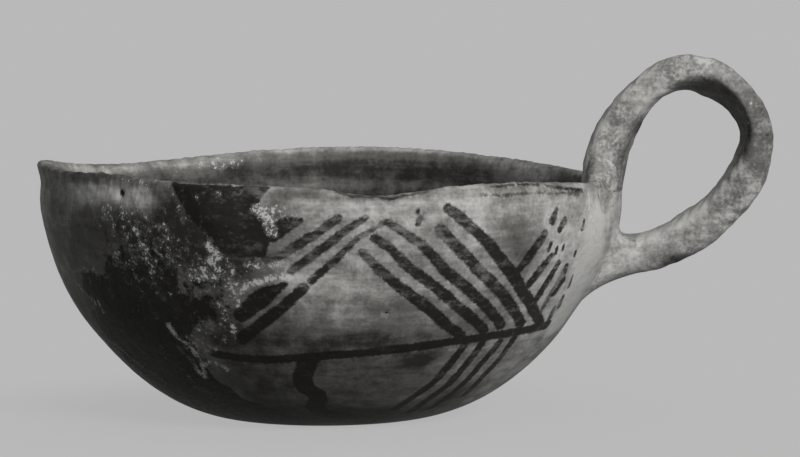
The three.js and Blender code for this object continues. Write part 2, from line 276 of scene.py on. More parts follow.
def close_up(piece):
    """Merge doubled points and turn all faces outwards."""
    select_only(piece)
    bpy.ops.object.mode_set(mode="EDIT")
    bpy.ops.mesh.select_all(action="SELECT")
    bpy.ops.mesh.remove_doubles(threshold=WELD)
    bpy.ops.mesh.normals_make_consistent(inside=False)
    bpy.ops.object.mode_set(mode="OBJECT")


rings = {"bowl_base": turned_ring("bowl_base", outlines["bowl_base"], False, BASE_STEPS)}
for name in ("lower_course", "upper_course", "bowl_rim"):
    rings[name] = turned_ring(name, outlines[name], True, WALL_STEPS)
print("faces:", {name: len(ring.data.polygons) for name, ring in rings.items()})

# %% [markdown]
# ## Thumb dents, chips and pits
# The round rings now take the hand-made shape, point by point, as with a sculpting brush. Shallow dents
# from the potter's thumbs run over the wall, the near lip is chipped, its left side is sharper and more
# battered, and three grits have left pits. Each ring keeps its places on the round form, because the
# brush strokes are laid out on it later.

# %% Points and lumps
WAVES, WAVE_SPREAD = 26, 3.2


def points_of(piece):
    flat_list = np.empty(len(piece.data.vertices) * 3, np.float32)
    piece.data.vertices.foreach_get("co", flat_list)
    return flat_list.reshape(-1, 3).astype(float) / MM


def put_points(piece, points):
    piece.data.vertices.foreach_set("co", (points * MM).astype(np.float32).ravel())
    piece.data.update()


def rough_clay(points, size, seed):
    """Smooth random lumps about zero, so many millimetres across: many faint waves that cross."""
    ways = np.random.default_rng(seed)
    lumps = np.zeros(len(points))
    for way, phase in zip(ways.normal(size=(WAVES, 3)), ways.uniform(0, 2 * math.pi, WAVES)):
        lumps += np.sin(points @ (way * WAVE_SPREAD / size) + phase)
    return lumps / math.sqrt(WAVES)


def crossing(first, second, waves):
    """Waves that cross, each with its count in two directions, its start and its strength."""
    return sum(strength * np.sin(one_way * first + other_way * second + start)
               for one_way, other_way, start, strength in waves)


print("points of the rim:", len(points_of(rings["bowl_rim"])))

# %% Worn rings
DENT_DEPTH, DENT_HEIGHTS = 0.16, (3, 18)
DENT_WAVES = [(5, 1 / 11, 1.1, 1.0), (9, -1 / 7, 4.0, 0.8), (13, 1 / 4.5, 2.2, 0.7), (3, 1 / 3.2, 0.0, 0.5)]
SKIN_ROUGHNESS, SKIN_LUMPS, SKIN_HEIGHTS = 0.035, 2.6, (1, 4)
LIP_ROUGHNESS, LIP_LUMPS, TOP_LUMPS, LIP_BAND = 0.11, 2.2, 2.8, 5
BATTERED, BATTERED_BEARING, BATTERED_SPREAD = 0.7, 228, 15
EDGE_SHARPNESS, EDGE_BEARING, EDGE_SPREAD = 0.55, 205, 45
CHIPS = [(266, 0.8, 0.4), (271.5, 0.9, 0.6), (274.5, 1.3, 0.7), (278, 0.9, 0.6), (282.2, 1.6, 0.8),
         (286, 0.7, 0.5), (288.6, 0.8, 0.4)]
CHIP_EDGE, CHIP_FULL, CHIP_DROP = 0.8, 1.0, 0.5
FLOOR_MARGIN, REST_MARGIN = 1, 2
PITS = [(227.8, 59.4, 0.95, 0.9), (282.5, 33.2, 0.5, 0.55), (247.5, 36, 0.8, 0.5)]


def thumb_dents(bearing, height):
    return DENT_DEPTH * crossing(np.radians(bearing), height, DENT_WAVES) * ease(height, *DENT_HEIGHTS)


def lip_chips(radius, height, bearing):
    on_top = ease(height, LIP_HEIGHT - CHIP_EDGE, LIP_HEIGHT + CHIP_EDGE)
    outside_edge = ease(radius, LIP_MIDDLE - CHIP_EDGE, LIP_MIDDLE + CHIP_FULL)
    return np.max(bumps(bearing, CHIPS), 0) * on_top * outside_edge


def lip_corner(radius, height, bearing):
    """How far the round of the lip is drawn out to an edge on its outer side."""
    corner = np.clip(radius - LIP_MIDDLE, 0, None) * np.clip(height - LIP_HEIGHT, 0, None)
    sharp = EDGE_SHARPNESS * bump_at(bearing, EDGE_BEARING, EDGE_SPREAD)
    return sharp * corner * 2 / LIP_RADIUS ** 2


def pit_depth(radius, height, bearing):
    depth = np.zeros_like(radius)
    for pit_bearing, pit_height, size, deep in PITS:
        sideways = np.radians(degrees_from(bearing, pit_bearing)) * radius
        depth += deep * hill(np.hypot(sideways, height - pit_height), 0, size)
    return depth


places = {}
for name, ring in rings.items():
    round_points = points_of(ring)
    radius = np.hypot(round_points[:, 0], round_points[:, 1])
    height = round_points[:, 2]
    bearing = np.degrees(np.arctan2(round_points[:, 1], round_points[:, 0])) % 360
    skin = np.where(height < LIP_HEIGHT, outer_face(height)[0] - LIP_RADIUS, LIP_MIDDLE)
    in_bowl = (height > BASE_CLAY - FLOOR_MARGIN) & (radius < skin)
    places[name] = radius, height, bearing, in_bowl
    chips = lip_chips(radius, height, bearing)
    corner = lip_corner(radius, height, bearing)
    pits = np.where(in_bowl, 0, pit_depth(radius, height, bearing))
    near_lip = ease(height, LIP_HEIGHT - LIP_BAND, LIP_HEIGHT)
    battered = LIP_ROUGHNESS * (1 + BATTERED * bump_at(bearing, BATTERED_BEARING, BATTERED_SPREAD))
    worn = thumb_dents(bearing, height) - chips - pits + corner
    worn += SKIN_ROUGHNESS * rough_clay(round_points, SKIN_LUMPS, seed=1) * ease(height, *SKIN_HEIGHTS)
    worn += battered * rough_clay(round_points, LIP_LUMPS, seed=2) * near_lip
    worn = np.where(radius > REST_RADIUS + REST_MARGIN, worn, 0)
    top = battered * rough_clay(round_points, TOP_LUMPS, seed=3) * ease(height, LIP_HEIGHT, BOWL_HEIGHT)
    put_points(ring, hand_shaped(radius + worn, height - CHIP_DROP * chips + corner + top, bearing))
    print(name, "points", len(radius), "of them inside the bowl", int(in_bowl.sum()))

# %% [markdown]
# ## The strap handle
# The handle is one strap of clay. It stands on the lip, leans outwards to a high crown, turns down round
# the tip and comes back level into the wall, and it is thinner in the middle than at its roots. A Bezier
# curve with a bevel could make it, but the strap also twists and swells, so a straight tube is drawn
# first, with a circle and a Screw modifier that only climbs, and its points are carried onto the loop.

# %% Line of the loop
STRAP_WIDTH, STRAP_MIDDLE, STRAP_ROOT = 16.0, 5.5, 9.3
STRAP_SQUARENESS = 3.0
STRAP_TWIST, TWIST_SHARE, TWIST_SPREADS = math.radians(25), 0.40, (0.07, 0.20)
SWELLINGS = [(0.12, 0.07, 0.75), (0.22, 0.07, -0.75), (0.32, 0.06, 1.5), (0.43, 0.07, -0.45),
             (0.54, 0.08, 0.65), (0.66, 0.09, 3.1), (0.80, 0.055, 2.0), (0.90, 0.05, 0.8)]
FOOT_BEARING, ROOT_BEARING = -15.0, -5.0
LIP_BITE, FOOT_INSET, FOOT_SAMPLES = 2.5, 1.5, 9
LOOP_RISE, CROWN_REACH, LOOP_REACH, TIP_RISE = 27.6, 20.8, 38.4, 11.3
LOOP_ARM, CURVE_POINTS = 0.48, 400
ROOT_HEIGHT = (upper + rim_joint) / 2
ROOT_STUB = 2.5


def bearing_beside(bearing, sideways, radius):
    """The bearing of a place that lies so many millimetres to the side of another."""
    return bearing + np.degrees(np.arcsin(np.clip(sideways / radius, -1, 1)))


foot_width = np.linspace(-0.5, 0.5, FOOT_SAMPLES) * STRAP_WIDTH
foot_bearings = bearing_beside(FOOT_BEARING, foot_width, RIM_RADIUS)
lip_top = float(hand_shaped(LIP_MIDDLE, BOWL_HEIGHT, foot_bearings)[:, 2].max())
seat = np.array([MOUTH_OFFSET + LIP_MIDDLE - FOOT_INSET, lip_top])
foot = seat - (0, LIP_BITE)
crown = seat + (CROWN_REACH, LOOP_RISE)
tip = seat + (LOOP_REACH, TIP_RISE)
root_radius = float(outer_face(ROOT_HEIGHT)[0])
root_level = float(hand_shaped(root_radius, ROOT_HEIGHT, np.array(ROOT_BEARING))[2])
root = np.array([MOUTH_OFFSET + root_radius, root_level])


def cubic(t, start, start_arm, end_arm, end):
    """Points of a Bezier curve at the shares t of its way."""
    return ((1 - t) ** 3 * start + 3 * t * (1 - t) ** 2 * start_arm
            + 3 * t ** 2 * (1 - t) * end_arm + t ** 3 * end)


way = np.linspace(0, 1, CURVE_POINTS)[:, None]
across, rise = crown - foot
fall = tip - crown
back = root - tip
loop_line = np.concatenate([
    cubic(way, foot, foot + (0, rise * LOOP_ARM), crown - (across * LOOP_ARM, 0), crown),
    cubic(way, crown, crown + (fall[0] * LOOP_ARM, 0), tip - (0, fall[1] * LOOP_ARM), tip)[1:],
    cubic(way, tip, tip + (0, back[1] * LOOP_ARM), root - (back[0] * LOOP_ARM, 0), root)[1:],
])
loop_walk = walked(loop_line)
LOOP_LENGTH = float(loop_walk[-1])
loop_slope = np.gradient(loop_line, loop_walk, axis=0)
print("length of the strap's middle line:", round(LOOP_LENGTH, 1), "mm")

# %% Skin of the strap
CROWN_SQUARENESS, CROWN_SHARE, CROWN_SPREAD = 2.0, 0.5, 0.16


def carried_round(points, bearing):
    """Points drawn at bearing 0, carried round the middle of the mouth."""
    around = np.radians(bearing)
    x, y = points[..., 0] - MOUTH_OFFSET, points[..., 1]
    return np.stack([MOUTH_OFFSET + x * np.cos(around) - y * np.sin(around),
                     x * np.sin(around) + y * np.cos(around), points[..., 2]], -1)


def squared(value, power):
    """A cosine or sine that draws a squarer outline than a circle."""
    return np.sign(value) * np.abs(value) ** power


def hills(value, spots):
    """Hills along a line, each with its middle, spread and amount, added up."""
    return sum(amount * hill(value, middle, spread) for middle, spread, amount in spots)


def strap_face(share, angle, grow=0.0):
    """Points of the strap's skin: share of its length, angle round its section, and extra growth."""
    share, angle = np.broadcast_arrays(np.asarray(share, float), np.asarray(angle, float))
    walk = share * LOOP_LENGTH
    line = np.stack([np.interp(walk, loop_walk, loop_line[:, i]) for i in (0, 1)], -1)
    line[..., 0] -= np.clip(walk - LOOP_LENGTH, 0, None)
    along = np.stack([np.interp(walk, loop_walk, loop_slope[:, i]) for i in (0, 1)], -1)
    along /= np.linalg.norm(along, axis=-1, keepdims=True)
    zero = np.zeros_like(share)
    thick = np.stack([along[..., 1], zero, -along[..., 0]], -1)
    wide = np.array([0.0, 1.0, 0.0])
    twist_spread = np.where(share < TWIST_SHARE, *TWIST_SPREADS)
    twist = -STRAP_TWIST * hill(share, TWIST_SHARE, twist_spread)
    cosine, sine = np.cos(twist)[..., None], np.sin(twist)[..., None]
    thick, wide = thick * cosine + wide * sine, wide * cosine - thick * sine
    middle_share = np.sin(np.pi * np.clip(share, 0, 1)) ** 3
    thickness = STRAP_ROOT + (STRAP_MIDDLE - STRAP_ROOT) * middle_share + hills(share, SWELLINGS)
    half_thick = thickness / 2 + grow
    half_wide = STRAP_WIDTH / 2 + grow
    power = 2 / (STRAP_SQUARENESS + CROWN_SQUARENESS * hill(share, CROWN_SHARE, CROWN_SPREAD))
    over = half_thick * squared(np.cos(angle), power)
    side = half_wide * squared(np.sin(angle), power)
    centre = np.stack([line[..., 0], zero, line[..., 1]], -1)
    bearing = FOOT_BEARING + (ROOT_BEARING - FOOT_BEARING) * ease(share, 0, 1)
    return carried_round(centre + thick * over[..., None] + wide * side[..., None], bearing)


print("top of the crown:", strap_face(np.array([CROWN_SHARE]), math.pi).round(1), "mm")

# %% Strap
STRAP_AROUND, STRAP_ALONG = 72, 200
LUMP_DEPTH, STRAP_ROUGHNESS, STRAP_LUMPS = 0.05, 0.1, 3.0
LUMP_WAVES = [(31, 2, 0.6, 1.0), (53, -1, 2.1, 0.8), (89, 3, 4.4, 0.7), (140, -2, 0.0, 0.5)]


def finger_lumps(share, angle):
    return LUMP_DEPTH * crossing(share, angle, LUMP_WAVES) * np.sin(np.pi * np.clip(share, 0, 1)) ** 0.5


strap = started("handle_loop", bpy.ops.mesh.primitive_circle_add, vertices=STRAP_AROUND, radius=MM)
climb = strap.modifiers.new("climb", "SCREW")
climb.angle = 0
climb.screw_offset = (LOOP_LENGTH + ROOT_STUB) * MM
climb.steps = climb.render_steps = STRAP_ALONG
bpy.ops.object.modifier_apply(modifier=climb.name)
bpy.ops.object.mode_set(mode="EDIT")
bpy.ops.mesh.select_all(action="SELECT")
bpy.ops.mesh.fill_holes(sides=0)
bpy.ops.object.mode_set(mode="OBJECT")
tube = points_of(strap)
strap_share = tube[:, 2] / LOOP_LENGTH
strap_angle = np.arctan2(tube[:, 1], tube[:, 0])
smooth_strap = strap_face(strap_share, strap_angle)
lumps = finger_lumps(strap_share, strap_angle)
lumps += STRAP_ROUGHNESS * rough_clay(smooth_strap, STRAP_LUMPS, seed=4)
put_points(strap, strap_face(strap_share, strap_angle, lumps))
close_up(strap)
strap_top = points_of(strap)[:, 2].max()
print("strap faces:", len(strap.data.polygons), "highest point", strap_top.round(2), "mm")

# %% [markdown]
# ## Luting clay at both roots
# Where the strap meets the lip and the wall, soft clay was smeared into the corner and drawn out with a
# finger. Each smear is a ring round the strap with a three-cornered section: one corner up the strap,
# one out on the bowl and one deep in the joint. A torus already has the right loops, so its points are
# carried onto that section, and the face that shows is a smooth hollow curve.

# %% Smeared rings
LUTE_AROUND, LUTE_SECTION = 144, 48
TORUS_RADIUS, TORUS_SECTION = 10, 3
SHOWN_SHARE = 0.7
SUNK = 0.25


def smeared_ring(name, on_strap, down_strap, near_bowl, on_bowl, deep):
    """A torus carried onto a curve that leaves the strap and runs out on the bowl, and back inside."""
    smear = started(name, bpy.ops.mesh.primitive_torus_add, major_segments=LUTE_AROUND,
                    minor_segments=LUTE_SECTION, major_radius=TORUS_RADIUS * MM,
                    minor_radius=TORUS_SECTION * MM)
    ring_points = points_of(smear)
    angle = np.arctan2(ring_points[:, 1], ring_points[:, 0])
    out = np.hypot(ring_points[:, 0], ring_points[:, 1]) - TORUS_RADIUS
    share = (np.arctan2(ring_points[:, 2], out) / (2 * math.pi)) % 1
    shown = np.clip(share / SHOWN_SHARE, 0, 1)[:, None]
    hidden = np.clip((share - SHOWN_SHARE) / (1 - SHOWN_SHARE), 0, 1)[:, None]
    start, end = on_strap(angle), on_bowl(angle)
    face = cubic(shown, start, down_strap(angle), near_bowl(angle), end)
    back_face = (1 - hidden) ** 2 * end + 2 * hidden * (1 - hidden) * deep(angle) + hidden ** 2 * start
    put_points(smear, np.where(share[:, None] <= SHOWN_SHARE, face, back_face))
    close_up(smear)
    print(name, "faces", len(smear.data.polygons))
    return smear


# %% Smear on the lip
UPPER_CLIMB, LIP_LEVEL = 11.0, 3.0
UPPER_SPREAD, OUTER_SKIRT, INNER_SKIRT = 6.5, 14.0, 10.0
NEAR_SHARE, EDGE_WAVE = 0.6, 0.05
LIP_FILLET, LIP_DEPTH = 0.3, 2.5


def over_lip(sideways, along, lift):
    """A point of the bowl by its distance sideways and over the lip to the inside, lifted off it."""
    around = np.clip(along / LIP_RADIUS, -math.pi / 2, math.pi / 2)
    drop = np.abs(along) - np.abs(around) * LIP_RADIUS
    in_radius, in_height = inner_face(LIP_HEIGHT - drop, lift)
    lip_radius = LIP_MIDDLE - (LIP_RADIUS + lift) * np.sin(around)
    lip_height = LIP_HEIGHT + (LIP_RADIUS + lift) * np.cos(around)
    below = drop > 0
    outer_radius = outer_face(LIP_HEIGHT - drop)[0] + lift
    radius = np.where(below, np.where(along > 0, in_radius, outer_radius), lip_radius)
    height = np.where(below, np.where(along > 0, in_height, LIP_HEIGHT - drop), lip_height)
    return hand_shaped(radius, height, bearing_beside(FOOT_BEARING, sideways, radius))


def lip_edge(angle, share, lift):
    skirt = np.where(np.cos(angle) > 0, OUTER_SKIRT, INNER_SKIRT) * share
    beside = (STRAP_WIDTH / 2 + UPPER_SPREAD * share) * (1 + EDGE_WAVE * np.sin(3 * angle + 1))
    return over_lip(beside * np.sin(angle), -skirt * np.cos(angle), lift)


lip_smear = smeared_ring(
    "lip_smear",
    lambda angle: strap_face((UPPER_CLIMB + np.sin(3 * angle)) / LOOP_LENGTH, angle, -SUNK),
    lambda angle: strap_face(LIP_LEVEL / LOOP_LENGTH, angle, LIP_FILLET),
    lambda angle: lip_edge(angle, NEAR_SHARE, 0.0),
    lambda angle: lip_edge(angle, 1.0, -SUNK),
    lambda angle: strap_face(LIP_LEVEL / LOOP_LENGTH, angle, -LIP_DEPTH),
)

# %% Smear on the wall
LOWER_REACH, CORNER_REACH = 11.0, 3.0
CORNER_FILLET, CORNER_LIFT = 0.4, 0.3
OUTER_SPREAD, CORNER_SPREAD = (6.5, 9.0, 6.0), (1.5, 2.0, 1.5)
DEEP_SPREAD, DEEP_LIFT = (-2, -2, -3), -1.5


def wall_at(sideways, level, lift):
    """A point of the outer wall by its place in a side view of the root, lifted off the wall."""
    radius, out, down = outer_face(level)
    bearing = bearing_beside(ROOT_BEARING, sideways, radius)
    return hand_shaped(radius + lift * out, level + lift * down, bearing)


def root_outline(angle, above, below, beside):
    """Places round the root in a side view, so far out from the strap above, below and beside it."""
    power = 2 / STRAP_SQUARENESS
    lift, side = squared(np.cos(angle), power), squared(np.sin(angle), power)
    reach = STRAP_ROOT / 2 + np.where(lift > 0, above, below)
    return side * (STRAP_WIDTH / 2 + beside), ROOT_HEIGHT + lift * reach


wall_smear = smeared_ring(
    "wall_smear",
    lambda angle: strap_face(1 - (LOWER_REACH + np.sin(2 * angle)) / LOOP_LENGTH, angle, -SUNK),
    lambda angle: strap_face(1 - CORNER_REACH / LOOP_LENGTH, angle, CORNER_FILLET),
    lambda angle: wall_at(*root_outline(angle, *CORNER_SPREAD), CORNER_LIFT),
    lambda angle: wall_at(*root_outline(angle, *OUTER_SPREAD), -SUNK),
    lambda angle: wall_at(*root_outline(angle, *DEEP_SPREAD), DEEP_LIFT),
)

# %% [markdown]
# ## The pad inside
# The strap's lower end goes through the wall as a peg, and a pat of clay was pressed over the peg inside
# the bowl. A flattened ball gives the pat: its upper half is a low cushion and its lower half is sunk in
# the wall, so that it has no open edge.

# %% Pressed pad
PAD_HALF_WIDTH, PAD_HALF_HEIGHT, PAD_LIFT = 10.2, 8.6, 2.3
PAD_SINK, PAD_ROUNDING = 1.0, 1.1
PAD_SEGMENTS, PAD_RINGS = 72, 36

pad = started("pressed_pad", bpy.ops.mesh.primitive_uv_sphere_add, segments=PAD_SEGMENTS,
              ring_count=PAD_RINGS, radius=MM)
ball = points_of(pad)
cushion = PAD_LIFT * ease(ball[:, 2], 0, PAD_ROUNDING)
pad_lift = np.where(ball[:, 2] > 0, cushion, PAD_SINK * ball[:, 2]) - SUNK
pad_radius, pad_height = inner_face(ROOT_HEIGHT + PAD_HALF_HEIGHT * ball[:, 1], pad_lift)
pad_bearing = bearing_beside(ROOT_BEARING, PAD_HALF_WIDTH * ball[:, 0], pad_radius)
put_points(pad, hand_shaped(pad_radius, pad_height, pad_bearing))
close_up(pad)
pad_low, pad_high = points_of(pad).min(0).round(1), points_of(pad).max(0).round(1)
print("pad faces:", len(pad.data.polygons), "from", pad_low, "to", pad_high, "mm")

# %% [markdown]
# ## Brush strokes
# The painter pulled a line round the lower wall and hung leaning strokes above it, with a few thin
# strokes and a wavy one below. Each stroke is written as its width, how far it has worn away, and the
# places it passes, as bearing and height on the round form. Where a width or a wear has several numbers,
# they are spread along the stroke. Two dark areas are closed outlines.
#
# A stroke is not geometry: every point of the mesh only stores how far it lies from the nearest painted
# edge, less than zero inside a stroke, and the finish turns that distance into a ragged edge.

# %% Strokes
LEANING_RIGHT = [
    ((2.2, 3.2, 2.8), (0.4, 0.15, 0, 0),
     [(276.8, 48.8), (280.8, 43.7), (285.9, 38.5), (296.8, 29.1), (301.6, 26.1)]),
    ((2.4, 2.9, 2.9), (0.2, 0.2, 0.15, 0),
     [(279, 52.6), (281.8, 50.2), (285.8, 44.7), (297.3, 34.4), (308, 26.8)]),
    ((2, 3, 2.9), (0.5, 0.2, 0.15, 0),
     [(281.4, 56.6), (288.1, 50.2), (293.7, 42.9), (301.4, 36.4), (312.4, 27.9)]),
    ((2.9, 3.2, 2.9), (0.4, 0.35, 0.2, 0),
     [(291.6, 53.6), (294.4, 49.9), (300.7, 42.8), (310.1, 34.9), (319.2, 27.6)]),
    ((2.6, 3.4, 2.9), (0.35, 0.15, 0, 0),
     [(293, 58.5), (299.8, 51.5), (307.2, 43.2), (313.6, 36.8), (322, 30.2), (327, 27.2)]),
]
LEANING_LEFT = [
    ((1.4, 3.8, 4), (0.25, 0), [(265.4, 55.7), (262.6, 54.4), (260.2, 52.4)]),
    ((2, 2.5, 2), (0.4, 0.35, 0.5), [(272.3, 57.1), (268.8, 53.2), (262, 47.4), (258.6, 46)]),
    ((1.6, 2.3, 2.2), (0.4, 0.25), [(277.4, 57.6), (273.9, 54.3), (269.4, 49.2), (263.4, 43.5)]),
    ((1.4, 1.8, 2.1), (0.65, 0.45, 0.1), [(280.6, 56.3), (275.9, 52.4), (271.7, 46.4), (267.2, 41.2)]),
    ((2.8, 3.4), 0, [(265.7, 39.4), (261.6, 34.8), (257, 30.8), (250.8, 25.8)]),
    ((1.8, 5.2, 3.8), 0.05, [(262, 40.2), (257.4, 37), (252, 32)]),
]
BASE_LINE = [
    (2.9, 0, [(242.5, 21.6), (249, 20.8), (256, 20.6), (275, 22.4), (302, 24.8), (324, 26.1), (329, 26.6)]),
    ((2.6, 3.6), 0, [(325, 26.2), (330.5, 26.6)]),
]
BELOW_LINE = [
    ((5.2, 4.4), 0,
     [(265.5, 20.2), (264, 16), (265.2, 12.8), (268.6, 11), (269, 9), (268, 7.2), (271.2, 5.4),
      (279.8, 4.2)]),
    (2.7, (0.15, 0), [(303.8, 23.6), (302.5, 17.8), (301.8, 13.6), (299, 9.2), (296.8, 6)]),
    (2.7, (0.15, 0), [(309, 23.4), (307.8, 17.4), (307.8, 12.4), (305.8, 8.4), (305.2, 4.6)]),
    (2.5, (0.15, 0), [(314.8, 23.4), (313.2, 17.8), (313.5, 10.4), (312.8, 5.4)]),
    (2.5, (0.2, 0.1), [(319.5, 24), (319.2, 18.8), (319, 13.8), (321, 8.6)]),
]
BY_THE_ROOT = [
    ((1.8, 2.4), (0.5, 0.25), [(318.6, 56.6), (317.4, 54)]), (2.2, 0.4, [(321.2, 53.8), (319.9, 51.8)]),
    ((2.6, 3, 2.4), (0.4, 0.2, 0.05), [(315.5, 50.8), (313.7, 47.8), (312.2, 45), (310.7, 42.6)]),
    ((2.2, 2.8, 2.6), (0.3, 0.1, 0), [(318.9, 45.2), (316.5, 41.6), (314.9, 38.4)]),
    ((2.2, 2.8, 2.2), (0.3, 0.1, 0), [(322.1, 43.2), (320.2, 38), (319.5, 34.4)]),
    ((1.8, 2, 1.4), (0.5, 0.3), [(324.7, 40), (323.7, 36), (323.5, 32.6), (323.9, 30.2)]),
    (1.6, 0.1, [(317.9, 48.2), (317.7, 47.2)]), (1.6, 0.1, [(320.2, 47), (320.2, 46)]),
    (1.4, 0, [(322.2, 47.4), (322.2, 46.8)]), (2.1, 0.3, [(325.5, 42.2), (325.5, 40.8)]),
    (2.2, 0.1, [(326.2, 38.6), (324.9, 35.2)]), (2, 0.35, [(329.9, 33.8), (330.7, 31.6)]),
    (2.1, 0.3, [(328.7, 31), (329.5, 28.6)]), (1.4, 0.45, [(328.2, 53.8), (327.7, 51.6)]),
    (1.2, 0.2, [(327.2, 45.8), (327.4, 45)]), (1.2, 0.5, [(329.7, 39.4), (330.2, 36.6)]),
    (1.2, 0, [(287.2, 58.8), (287.2, 58.4)]), (1.6, 0.45, [(287.7, 56.8), (287.1, 55.4)]),
]
UNDER_LIP = [
    ((0.6, 1), 0.3, [(302.2, 62.6), (304.5, 62.6), (307.8, 62.8)]), (0.8, 0.2, [(309, 62.8), (314, 62.6)]),
    ((0.7, 1.2), 0.25, [(316, 62.4), (320.8, 61.8), (327.2, 61.4)]),
    (0.7, 0.5, [(300, 60.8), (306, 60.5), (314, 60.8), (326, 60.5)]),
    (0.9, 0.45, [(272, 63.1), (276, 62.8), (279, 63), (283, 62.6), (289, 63)]),
]
HANGING_WEDGE = [
    (240, 63), (260, 63.2), (258, 60), (257.8, 57), (260, 51.6), (258.6, 46.6), (252.8, 46.4),
    (249.6, 47.4), (247.4, 51), (243.6, 56),
]
DARK_FOOT = [
    (238, 18), (239, 14.2), (242.5, 12.2), (244.8, 9), (249.5, 8), (257.5, 5.2), (262, 3.5), (262, 0.5),
    (205, 0.5), (205, 10),
]
strokes = LEANING_RIGHT + LEANING_LEFT + BASE_LINE + BELOW_LINE + BY_THE_ROOT + UNDER_LIP
print("brush strokes:", len(strokes))

# %% Distance to a stroke
BARE = 4.0
STROKE_STEP = 0.4


def painted_radius(height):
    round_lip = np.sqrt(np.clip(LIP_RADIUS ** 2 - np.clip(height - LIP_HEIGHT, 0, None) ** 2, 0, None))
    return np.where(height > LIP_HEIGHT, LIP_MIDDLE + round_lip, outer_face(height)[0])


def on_round(radius, height, bearing):
    around = np.radians(bearing)
    return np.stack([radius * np.cos(around), radius * np.sin(around), height], -1)


def stroke_points(passes):
    """Close places along a stroke, on the round form."""
    bearings, heights = np.array(passes).T
    walk = walked(on_round(painted_radius(heights), heights, bearings))
    steps = np.linspace(0, walk[-1], int(walk[-1] / STROKE_STEP) + 2)
    level = np.interp(steps, walk, heights)
    return on_round(painted_radius(level), level, np.interp(steps, walk, bearings))


def spread_along(values, count):
    """One or more values, spread evenly along a stroke."""
    values = np.atleast_1d(values)
    return np.interp(np.linspace(0, 1, count), np.linspace(0, 1, len(values)), values)


def nearest_stroke(spots, allowed, drawn):
    """Distance to the edge of the nearest stroke, and that stroke's second number there."""
    distance, number = np.full(len(spots), BARE), np.zeros(len(spots))
    for width, stroke_number, passes in drawn:
        line = stroke_points(passes)
        near = ((spots > line.min(0) - BARE) & (spots < line.max(0) + BARE)).all(1) & allowed
        chosen = np.flatnonzero(near)
        if len(chosen):
            gaps = np.linalg.norm(spots[chosen, None] - line[None], axis=2)
            gaps -= spread_along(width, len(line)) / 2
            nearest, away = gaps.argmin(1), gaps.min(1)
            closer = away < distance[chosen]
            distance[chosen[closer]] = away[closer]
            number[chosen[closer]] = spread_along(stroke_number, len(line))[nearest[closer]]
    return distance, number


print("close places along the base line:", len(stroke_points(BASE_LINE[0][-1])))

# %% Distance to the paint
BACK_TURN, BACK_DRIFT, BACK_LIFT = 362.0, 1.03, 0.5
WEDGE_WEAR, WEDGE_FOOT_SHARE = 0.45, 0.5
CORNER_BEARINGS, CORNER_HEIGHTS = (250, 259), (52, 58)
WEDGE_FOOT_TOP, WEDGE_FOOT_END = (53, 48), (30, 40)


def inside_outline(bearing, height, outline):
    """Distance in millimetres to a closed outline on the wall, less than zero inside it."""
    scale = math.radians(1) * RIM_RADIUS
    spots = np.stack([bearing * scale, height], -1)
    corners = np.array(outline) * (scale, 1)
    nearest = np.full(len(spots), np.inf)
    within = np.zeros(len(spots), bool)
    for start, stop in zip(corners, np.roll(corners, -1, 0)):
        side = stop - start
        share = np.clip((spots - start) @ side / (side @ side), 0, 1)
        nearest = np.minimum(nearest, np.linalg.norm(spots - start - share[:, None] * side, axis=1))
        crosses = (start[1] > spots[:, 1]) != (stop[1] > spots[:, 1])
        with np.errstate(divide="ignore", invalid="ignore"):
            reach = start[0] + (spots[:, 1] - start[1]) / side[1] * side[0]
        within ^= crosses & (spots[:, 0] < reach)
    return np.where(within, -nearest, nearest)


def paint_layers(radius, height, bearing, in_bowl):
    """Distance to the nearest painted edge and that stroke's wear; the far side repeats the near one."""
    far = bearing < 180
    bearing = np.where(far, BACK_TURN - BACK_DRIFT * bearing, bearing)
    height = np.where(far, height + BACK_LIFT, height)
    distance, wear = nearest_stroke(on_round(radius, height, bearing), ~in_bowl, strokes)
    areas = np.min([inside_outline(bearing, height, area) for area in (HANGING_WEDGE, DARK_FOOT)], 0)
    areas = np.where(in_bowl, BARE, areas)
    torn_corner = ease(bearing, *CORNER_BEARINGS) * ease(height, *CORNER_HEIGHTS)
    torn_foot = WEDGE_FOOT_SHARE * ease(height, *WEDGE_FOOT_TOP) * ease(height, *WEDGE_FOOT_END)
    torn = WEDGE_WEAR * np.maximum(torn_corner, torn_foot)
    return np.minimum(distance, areas), np.where(areas < distance, torn, wear)


paint = {name: paint_layers(*place) for name, place in places.items()}
print("painted points:", {name: int((layer[0] < 0).sum()) for name, layer in paint.items()})

# %% [markdown]
# ## Lime veins
# Roots and seeping water left a white crust on the wall, in thin branching veins and in loose patches
# of specks. The veins are written like brush strokes, with a width, an amount and the places they pass.
# Patches are soft ovals. The crust has some thickness, so the points under it are lifted a little.

